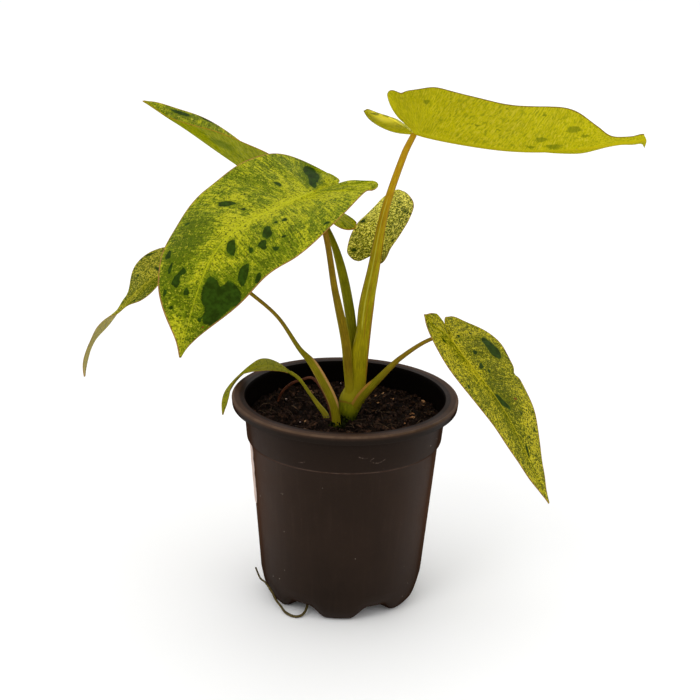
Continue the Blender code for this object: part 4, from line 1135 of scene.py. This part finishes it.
def make_pot():
    outer, inner = outer_profile(), inner_profile(WALL)
    top, drop, inside, outside = POT_HEIGHT, POT_HEIGHT - LIP_DROP, inner[-1][0], RIM_RADIUS
    lip = [
        (inside + WALL + 0.2, top - 2.4), (inside + WALL + 0.9, top - LIP_THICKNESS),
        (outside - 2.0, top - LIP_THICKNESS - 0.1), (outside - 1.2, top - 2.0), (outside - 1.3, drop),
        (outside - 0.4, drop - 0.1), (outside, top - 1.0), (outside - 0.4, top - 0.3), (outside - 1.2, top),
        (inside + 1.4, top - 0.1), (inside + 0.5, top - 0.8), (inside + 0.1, top - 2.4),
    ]
    profile = round_corners([*outer, *lip, *reversed(inner)], BEND_RADIUS, BEND_STEPS)
    verts, faces = revolve(fine_walls(profile, POT_WALL_STEP), POT_SEGMENTS)
    pot = piece("nursery_pot", arch_lift(verts), faces, [pot_material()], "pot", ["pot"], turn=False)
    cutters = []
    for k in range(FEET):
        angle = math.radians(-90 + FOOT_TURN + 360 * (k + 0.5) / FEET)
        circle, radius = DRAIN_CIRCLE * MM, DRAIN_RADIUS * MM
        place = circle * math.cos(angle), circle * math.sin(angle), DRAIN_CUT_HEIGHT * MM
        bm = bmesh.new()
        bmesh.ops.create_cone(
            bm, cap_ends=True, segments=DRAIN_CUT_SEGMENTS, radius1=radius, radius2=radius,
            depth=DRAIN_CUT_DEPTH * MM, matrix=Matrix.Translation(place),
        )
        cutters.append(mesh_object("drain_cutter", bm))
        modifier = pot.modifiers.new("Drain", "BOOLEAN")
        modifier.object, modifier.solver = cutters[-1], "EXACT"
    bpy.context.view_layer.update()
    pot.data = bpy.data.meshes.new_from_object(pot.evaluated_get(bpy.context.evaluated_depsgraph_get()))
    pot.modifiers.clear()
    for cutter in cutters:
        bpy.data.objects.remove(cutter, do_unlink=True)
    turn_outwards(pot)
    pot.data.polygons.foreach_set("use_smooth", [True] * len(pot.data.polygons))
    pot.data.set_sharp_from_angle(angle=math.radians(POT_SHARP_ANGLE))


def pot_material():
    """Dark plastic with drawn lines, dust and scratches, painted light and a painted highlight on the lip's
    top, and painted shade on the lip's inner part and outer face, under the lip, on the collar and on the inner
    wall.
    """
    n = Nodes("pot_plastic", POT_SPECULAR, POT_SPECULAR_TINT)
    place = n.position()
    x, y, z = n.parts(place)
    radius = n.add("VectorMath", {0: n.scaled(place, 1.0, 1.0, 0.0)}, operation="LENGTH").outputs["Value"]
    inside = n.times(n.step(n.total((radius, 1.0), (z, -WALL_SLOPE)), *INNER_WALL), n.step(z, 91.0, 94.0))
    outside = n.step(inside, 1.0, 0.0, 0.05, 1.0)
    on_collar = n.band(z, (89.2, 89.8), (106.0, 107.5))
    lip_inner_shade = n.times(n.step(z, 110.8, 111.8), n.step(radius, 57.0, 55.0))
    n.put(n.shader, "Sheen Weight", n.times(
        n.step(z, 5.0, 60.0, 0.35 * POT_SHEEN, POT_SHEEN), outside, n.step(on_collar, 0.0, 1.0, 1.0, 0.6),
        n.step(z, 106.4, 107.4, 1.0, 0.25), n.step(z, 110.4, 111.6, 1.0, 3.6),
        n.step(lip_inner_shade, 0.0, 1.0, 1.0, 0.3),
    ))
    n.put(n.shader, "Sheen Tint", POT_SHEEN_TINT)
    n.put(n.shader, "Sheen Roughness", POT_SHEEN_ROUGHNESS)
    n.put(n.shader, "Specular IOR Level", n.times(n.gloss, outside))
    around = n.times(n.maths("ARCTAN2", x, n.times(y, -1.0)), MEAN_RADIUS)
    unrolled = n.add("CombineXYZ", {0: around, 1: z}).outputs[0]
    drawn = n.noise(n.scaled(unrolled, 1.0, 0.08, 1.0), 0.35, 3, 0.6)
    clouds = n.noise(place, 0.035, 3, 0.6)
    n.colour = PLASTIC["dark"]
    n.lay(PLASTIC["pale"], clouds, 0.35, 0.65)
    n.lay(PLASTIC["drawn"], drawn, 0.5, 0.75, 0.5)
    # painted shade: the collar band is laid darker than the same plastic below it, and gets less sheen
    n.cover(PLASTIC["collar"], n.times(on_collar, 0.6))
    n.lay(PLASTIC["dust"], n.noise(place, 0.9, 4, 0.75), 0.60, 0.80, 0.10)
    specks = n.step(n.cells(place, 0.16), 0.050, 0.035, 0, 0.8)
    n.cover(PLASTIC["speck"], n.times(specks, n.step(n.noise(place, 0.045, 1), 0.50, 0.56)))
    worn = n.step(n.noise(unrolled, 0.25, 3, 0.6), 0.35, 0.65, 0.25, 1.0)
    n.cover(PLASTIC["seam"], n.times(n.step(n.off(z, SEAM_HEIGHT), 0.45, 0.15, 0, 0.7), worn))
    # painted light: the lip's top is laid a lighter brown where it catches light from above
    n.lay(PLASTIC["lip"], z, 111.0, 112.2, 0.8)
    # painted shade on the inner part of the lip's top
    n.cover(PLASTIC["lip_inner_shade"], lip_inner_shade)
    # painted shade on the lip's outer face, which faces down and outwards
    n.cover(PLASTIC["lip_face_shade"], n.times(n.band(z, (107.0, 107.8), (110.2, 111.2)), 0.8))
    # painted highlight: a pale line along the lip's outer top edge, broken up by noise
    lip_highlight = n.step(n.noise(unrolled, 0.12, 3, 0.6), 0.35, 0.65, 0.45, 0.85)
    n.cover(PLASTIC["lip_highlight"], n.times(n.step(z, 111.9, 112.5), n.step(radius, 58.3, 59.1), lip_highlight))
    # painted shadow in a band under the lip
    n.cover(PLASTIC["under_lip_shadow"], n.times(n.band(z, (103.0, 105.5), (106.6, 107.6)), 0.5))
    # painted shade: the inner wall above the soil is laid near black, darker than the same plastic outside
    n.cover(PLASTIC["inner_wall_shade"], n.times(inside, n.step(z, 96.0, 97.5)))
    broken = n.times(n.step(n.noise(place, 0.9, 3, 0.7), 0.40, 0.60, 0.1, 0.8), n.step(y, 0.0, -20.0))
    for middle, height, half, bow, slope in SCRATCHES:
        away = n.maths("SUBTRACT", x, middle)
        curve = n.total((n.times(away, away), bow / half**2), (away, slope / half))
        line = n.step(n.off(n.maths("SUBTRACT", z, height), curve), 0.40, 0.15)
        line = n.times(line, n.step(n.maths("ABSOLUTE", away), half, 0.7 * half))
        n.cover(PLASTIC["scratch"], n.times(line, broken))
    height = n.total((n.noise(place, 3.0, 2, 0.6), 1.0), (drawn, 0.6))
    return n.finish(n.step(clouds, 0.3, 0.7, 0.40, 0.54), height, 0.25, 0.15)


def soil_height(x, y):
    """The CAD soil's lumpy top, a little lower by the pot's wall."""
    waves = np.sin(x * 0.19 + 1.0) * np.cos(y * 0.16) + 0.6 * np.sin(x * 0.41 - y * 0.33 + 2.0)
    waves = waves + 0.5 * np.cos(x * 0.27 + y * 0.52)
    return SOIL_TOP + SOIL_LUMP * waves - 0.6 * (np.hypot(x, y) / 50) ** 4


def crumbs(x, y, rng):
    """Small lumps of many sizes on the soil, from random waves."""
    total = np.zeros_like(x)
    for wavelength, high in CRUMB_WAVES:
        for _ in range(WAVES_OF_EACH):
            way, phase = rng.uniform(0, math.pi), rng.uniform(0, 2 * math.pi)
            rate = 2 * math.pi / (wavelength * rng.uniform(0.8, 1.25))
            total += high / 2.6 * np.sin(rate * (x * math.cos(way) + y * math.sin(way)) + phase)
    return total


def scattered(count, rng, reach=SOIL_REACH):
    """Random places on the soil, none of them under a stem."""
    angle, radius = rng.uniform(0, 2 * math.pi, count), reach * np.sqrt(rng.uniform(0, 1, count))
    spots = np.stack([radius * np.cos(angle), radius * np.sin(angle)], -1)
    clear = np.all([np.hypot(spots[:, 0] - x, spots[:, 1] - y) > gap for x, y, gap in STEM_GAPS], axis=0)
    return spots[clear]


def make_soil(rng):
    edge = inner_profile(WALL + SOIL_GAP)
    side = [p for p in edge if p[1] < SOIL_EDGE - 1]
    above = next(p for p in edge if p[1] >= SOIL_EDGE - 1)
    share = (SOIL_EDGE - side[-1][1]) / (above[1] - side[-1][1])
    rim = side[-1][0] + (above[0] - side[-1][0]) * share
    profile = side + [(rim, SOIL_EDGE)]
    profile += [((rim - 0.4) * (1 - i / SOIL_RINGS) ** 0.8, SOIL_TOP) for i in range(SOIL_RINGS)]
    verts, faces = revolve(profile + [(0.0, SOIL_TOP)], SOIL_SEGMENTS)
    top = verts[:, 2] == SOIL_TOP
    x, y = verts[top, 0], verts[top, 1]
    lumps = crumbs(x, y, rng) * np.clip((rim - np.hypot(x, y)) / 2, 0, 1)
    lifted = arch_lift(verts)
    lifted[top, 2] = soil_height(x, y) + lumps - SOIL_LOWER
    piece("potting_mix", lifted, faces, [grainy_material("potting_mix")], "soil", ["soil"])

    spots = scattered(CLODS, rng)
    sizes = rng.lognormal(-0.35, 0.42, len(spots))[:, None] * rng.uniform(0.6, 1.2, (len(spots), 3)) * 0.8
    make_bits("soil_crumbs", spots, np.minimum(sizes, CRUMB_LIMIT), rng)
    spots = scattered(CHIPS, rng)
    make_bits("bark_chips", spots, rng.uniform(0.8, 1.25, (len(spots), 1)) * BARK_FORM, rng)
    tan = np.array(TAN_CHIPS)
    extra = tan[rng.integers(0, len(tan), EXTRA_TAN), :2] + rng.normal(0, 2.2, (EXTRA_TAN, 2))
    sizes = np.concatenate([tan[:, 2], rng.uniform(0.4, 0.8, EXTRA_TAN)])[:, None] * TAN_FORM
    make_bits("tan_chips", np.vstack([tan[:, :2], extra]), sizes, rng, 0.5)
    white = np.array(PERLITE)
    extra = scattered(EXTRA_PERLITE, rng)
    sizes = np.concatenate([white[:, 2], rng.uniform(0.22, 0.4, len(extra))])[:, None] * PERLITE_FORM
    make_bits("perlite", np.vstack([white[:, :2], extra]), sizes, rng, 0.4)
    make_fibres(scattered(FIBRES, rng, FIBRE_REACH), rng)


def make_bits(name, spots, sizes, rng, sunk=0.25):
    """Many rough grains, sunk a little into the soil, as one mesh."""
    bm = bmesh.new()
    bmesh.ops.create_icosphere(bm, subdivisions=2 if len(spots) < FINE_GRAINS else 1, radius=1.0)
    ball = np.array([v.co for v in bm.verts])
    faces = np.array([[v.index for v in f.verts] for f in bm.faces])
    bm.free()
    count = len(spots)
    angle = rng.uniform(0, 2 * math.pi, count)
    tilt = rng.normal(0, 0.35, count)
    shape = ball[None] * rng.uniform(0.7, 1.25, (count, len(ball), 1)) * sizes[:, None, :]
    c, s = np.cos(tilt)[:, None], np.sin(tilt)[:, None]
    x, z = shape[..., 0] * c - shape[..., 2] * s, shape[..., 0] * s + shape[..., 2] * c
    y = shape[..., 1]
    c, s = np.cos(angle)[:, None], np.sin(angle)[:, None]
    x, y = x * c - y * s, x * s + y * c
    ground = soil_height(spots[:, 0], spots[:, 1]) + sizes[:, 2] * (0.6 - sunk) + rng.uniform(0, 0.5, count)
    verts = np.stack([x + spots[:, :1], y + spots[:, 1:], z + ground[:, None]], -1).reshape(-1, 3)
    faces = (faces[None] + (np.arange(count) * len(ball))[:, None, None]).reshape(-1, 3)
    piece(name, verts, faces, [grainy_material(name)], "soil", ["soil"], smooth=False, turn=False)


def grainy_material(name):
    """A dull, grainy material, as its entry in GRAINY says."""
    grain, dark, light, *fleck = GRAINY[name]
    blotches, flecks, wear, bump = GRAINS[grain]
    n = Nodes(name, LABEL_SPECULAR if grain == "paper" else SOIL_SPECULAR)
    place = n.position()
    n.colour = dark
    n.lay(light, n.noise(place, *blotches[0]), *blotches[1])
    n.lay(fleck[0] if fleck else shade(light, 1.5), n.noise(place, *flecks[0]), *flecks[1])
    return n.finish(n.step(n.noise(place, *wear[0]), *wear[1]), n.noise(place, *bump[0]), *bump[1])


def make_fibres(spots, rng):
    """Thin dead roots lying on the soil, as one mesh."""
    fibres = []
    for spot in spots:
        way, length = rng.uniform(0, 2 * math.pi), rng.uniform(3, 9)
        bend = rng.normal(0, 0.35)
        points = []
        for t in np.linspace(-0.5, 0.5, 5):
            turn = way + bend * t * 2
            x, y = spot[0] + math.cos(turn) * length * t, spot[1] + math.sin(turn) * length * t
            points.append((x, y, float(soil_height(x, y)) + 0.5 + 0.4 * rng.uniform() + 0.5 * (1 - 4 * t * t)))
        fibres.append(tube(Route(points, [rng.uniform(0.10, 0.2)] * 5), *FIBRE_GRID))
    piece("soil_fibres", *joined(fibres), [grainy_material("soil_fibres")], "soil", ["soil"])


def make_label(rng):
    """A blank paper label bent round the pot's side."""
    corner, shoulder = CORNER[-1], SHOULDER
    rows, columns = LABEL_GRID
    low, high = LABEL_HEIGHTS
    start, end = LABEL_ANGLES
    u, v = np.meshgrid(np.linspace(0, 1, columns), np.linspace(0, 1, rows))
    past = np.maximum(LABEL_CORNER - np.minimum(u, 1 - u) * math.radians(end - start) * LABEL_RADIUS, 0)
    trim = LABEL_CORNER - np.sqrt(np.maximum(LABEL_CORNER**2 - past**2, 0))
    height = low + trim + (high - low - 2 * trim) * v
    angle = np.radians(start + (end - start) * u)
    creases = sum(
        0.05 * np.sin(rng.uniform(2, 9) * u * 3 + rng.uniform(2, 9) * v * 3 + rng.uniform(0, 6))
        for _ in range(6)
    )
    wall = corner[0] + (shoulder[0] - corner[0]) * (height - corner[1]) / (shoulder[1] - corner[1])
    front = wall + LABEL_OFF + LABEL_THICKNESS + np.maximum(creases, 0)
    verts = np.vstack([
        np.stack([radius * np.cos(angle), radius * np.sin(angle), height], -1).reshape(-1, 3)
        for radius in (front, front - LABEL_THICKNESS)
    ])
    count = rows * columns
    faces = [tuple(f) for f in (*grid_faces(rows, columns), *grid_faces(rows, columns, count, flip=True))]
    i, k = grid_border(rows, columns)
    border = i * columns + k
    faces += [(a, a + count, b + count, b) for a, b in zip(border, np.roll(border, -1))]
    piece("side_label", verts, faces, [grainy_material("side_label")], "label", ["label"], sharp=40)


def stem_material():
    """Green below, lime above the ring scar, and dark where it meets the soil."""
    n = Nodes("crown", STALK_SPECULAR, LEAF_SPECULAR_TINT)
    place = n.position()
    lines = n.noise(n.scaled(place, 1.0, 1.0, 0.12), 1.2, 3, 0.6)
    clouds = n.noise(place, 0.22, 3, 0.6)
    height = n.maths("ADD", n.parts(place)[2], n.times(n.maths("SUBTRACT", clouds, 0.5), 3.0))
    n.colour = CROWN_GREENS["pale"]
    n.lay(CROWN_GREENS["deep"], clouds, 0.35, 0.65)
    n.lay(CROWN_GREENS["lines"], lines, 0.5, 0.65, 0.5)
    n.lay(CROWN_LIME, height, 111.5, 115.0, 0.8)
    n.lay(CROWN_GREENS["low"], height, 108.5, 103.0, 0.9)
    n.lay(CROWN_GREENS["foot"], height, 103.5, 101.0, 0.95)
    n.lay(CROWN_GREENS["scar"], n.off(height, SCAR_HEIGHT), 0.7, 0.2, 0.7)
    bump = n.total((lines, 1.0), (n.noise(place, 1.8, 3, 0.7), 1.0))
    return n.finish(n.step(height, 106, 102, 0.42, 0.85), bump, 0.5, 0.4)


def root_material(name, dark, light):
    n = Nodes(name, STALK_SPECULAR)
    bark = n.streaks(n.attribute("lie"), 0.35, 1.6, 3, 0.7)
    n.colour = dark
    n.lay(light, bark, 0.35, 0.68)
    return n.finish(n.step(bark, 0.3, 0.7, 0.5, 0.75), bark, 0.6, 0.2)


def make_stems(rng):
    crown = stem_material()
    rings = np.array(CROWN)
    verts, faces, layers = tube(Route(rings[:, :3], rings[:, 4]), *CROWN_GRID, CROWN_RIDGES, taper=(0, 2.0))
    middle = np.interp(verts[:, 2], rings[:, 2], rings[:, 0])
    wider = np.interp(verts[:, 2], rings[:, 2], rings[:, 3] / rings[:, 4])
    verts[:, 0] = middle + (verts[:, 0] - middle) * wider
    piece("crown", verts, faces, [crown], "stem", ["main_stem"], layers)
    verts, faces, layers = tube(Route(OFFSHOOT["route"], OFFSHOOT["radii"]), *OFFSHOOT_GRID, taper=(0, 1.0))
    piece("offshoot", verts, faces, [crown], "stem", ["offshoot_stem"], layers)
    roots = ("arched_root", "aerial_root", AERIAL_ROOT), ("drain_side_root", "drain_root", DRAIN_ROOT)
    for name, node, root in roots:
        route = Route(root["route"], root["radii"])
        verts, faces, layers = tube(route, *ROOT_GRID, rough=rng, taper=(0.4, 0.4))
        piece(name, verts, faces, [root_material(name, *root["colours"])], "root", [node], layers)
    make_moss(rng)


def make_moss(rng):
    """Moss and root stubs at the foot of both stems, as one mesh."""
    stubs = []
    for _ in range(MOSS_STUBS):
        (mx, my), spread = MOSS_RINGS[0] if rng.uniform() < MOSS_SHARE else MOSS_RINGS[1]
        angle = rng.uniform(0, 2 * math.pi)
        radius = spread * rng.uniform(0.9, 1.25)
        dx, dy = math.cos(angle), math.sin(angle)
        x, y = mx + radius * dx, my + radius * dy
        z = float(soil_height(x, y)) + rng.uniform(-0.5, 3.4)
        out, up = rng.uniform(0.5, 1.8), rng.uniform(-0.4, 1.4)
        steps = (0, 0), (0.6, 0.4), (1, 1)
        points = [(x + out * reach * dx, y + out * reach * dy, z + up * rise) for reach, rise in steps]
        stubs.append(tube(Route(points, (0.4, 0.3, 0.08)), *STUB_GRID))
    piece("stem_moss", *joined(stubs), [grainy_material("stem_moss")], "stem", ["main_stem", "offshoot_stem"])


def make_studio():
    """A plain pale floor, soft light, and the camera at the photograph's angle."""
    bm = bmesh.new()
    bmesh.ops.create_grid(bm, x_segments=8, y_segments=8, size=FLOOR_SIZE)
    floor = mesh_object("floor", bm)
    n = Nodes("floor", FLOOR_SPECULAR)
    n.put(n.shader, "Base Color", n.mix(n.noise(n.position(), 0.01, 1), *FLOOR_COLOURS))
    n.put(n.shader, "Roughness", FLOOR_ROUGHNESS)
    floor.data.materials.append(n.material)
    world = bpy.data.worlds.new("Studio")
    world.use_nodes = True
    background = world.node_tree.nodes["Background"]
    background.inputs["Color"].default_value = (1.0, 1.0, 1.0, 1)
    background.inputs["Strength"].default_value = ROOM_LIGHT
    scene = bpy.context.scene
    scene.world = world
    target = Vector(CAMERA_TARGET) * MM
    for name, place, size, watts in LIGHTS:
        light = bpy.data.lights.new(name, "AREA")
        light.shape, light.size, light.energy = "DISK", size, watts
        obj = link_object(name, light)
        obj.location = place
        obj.rotation_euler = (target - obj.location).to_track_quat("-Z", "Y").to_euler()
    elevation, roll = math.radians(CAMERA_ELEVATION), math.radians(CAMERA_ROLL)
    back = Vector((0, -math.cos(elevation), math.sin(elevation)))
    right = Vector((1, 0, 0))
    up = right.cross(-back)
    turned = right * math.cos(roll) + up * math.sin(roll), up * math.cos(roll) - right * math.sin(roll)
    data = bpy.data.cameras.new("camera")
    data.lens, data.sensor_width, data.clip_start = CAMERA_LENS, SENSOR, 0.01
    camera = link_object("camera", data)
    matrix = Matrix((*turned, back)).transposed().to_4x4()
    matrix.translation = target + back * CAMERA_DISTANCE * MM
    camera.matrix_world = matrix
    scene.camera = camera
    scene.view_settings.view_transform = "Standard"


rng = np.random.default_rng(7)
make_studio()
make_pot()
make_soil(rng)
make_label(rng)
make_stems(rng)
for name, leaf in LEAVES.items():
    make_blade(name, leaf, LOOKS[name], rng)
    make_petiole(name, PETIOLES[name], leaf["base"])
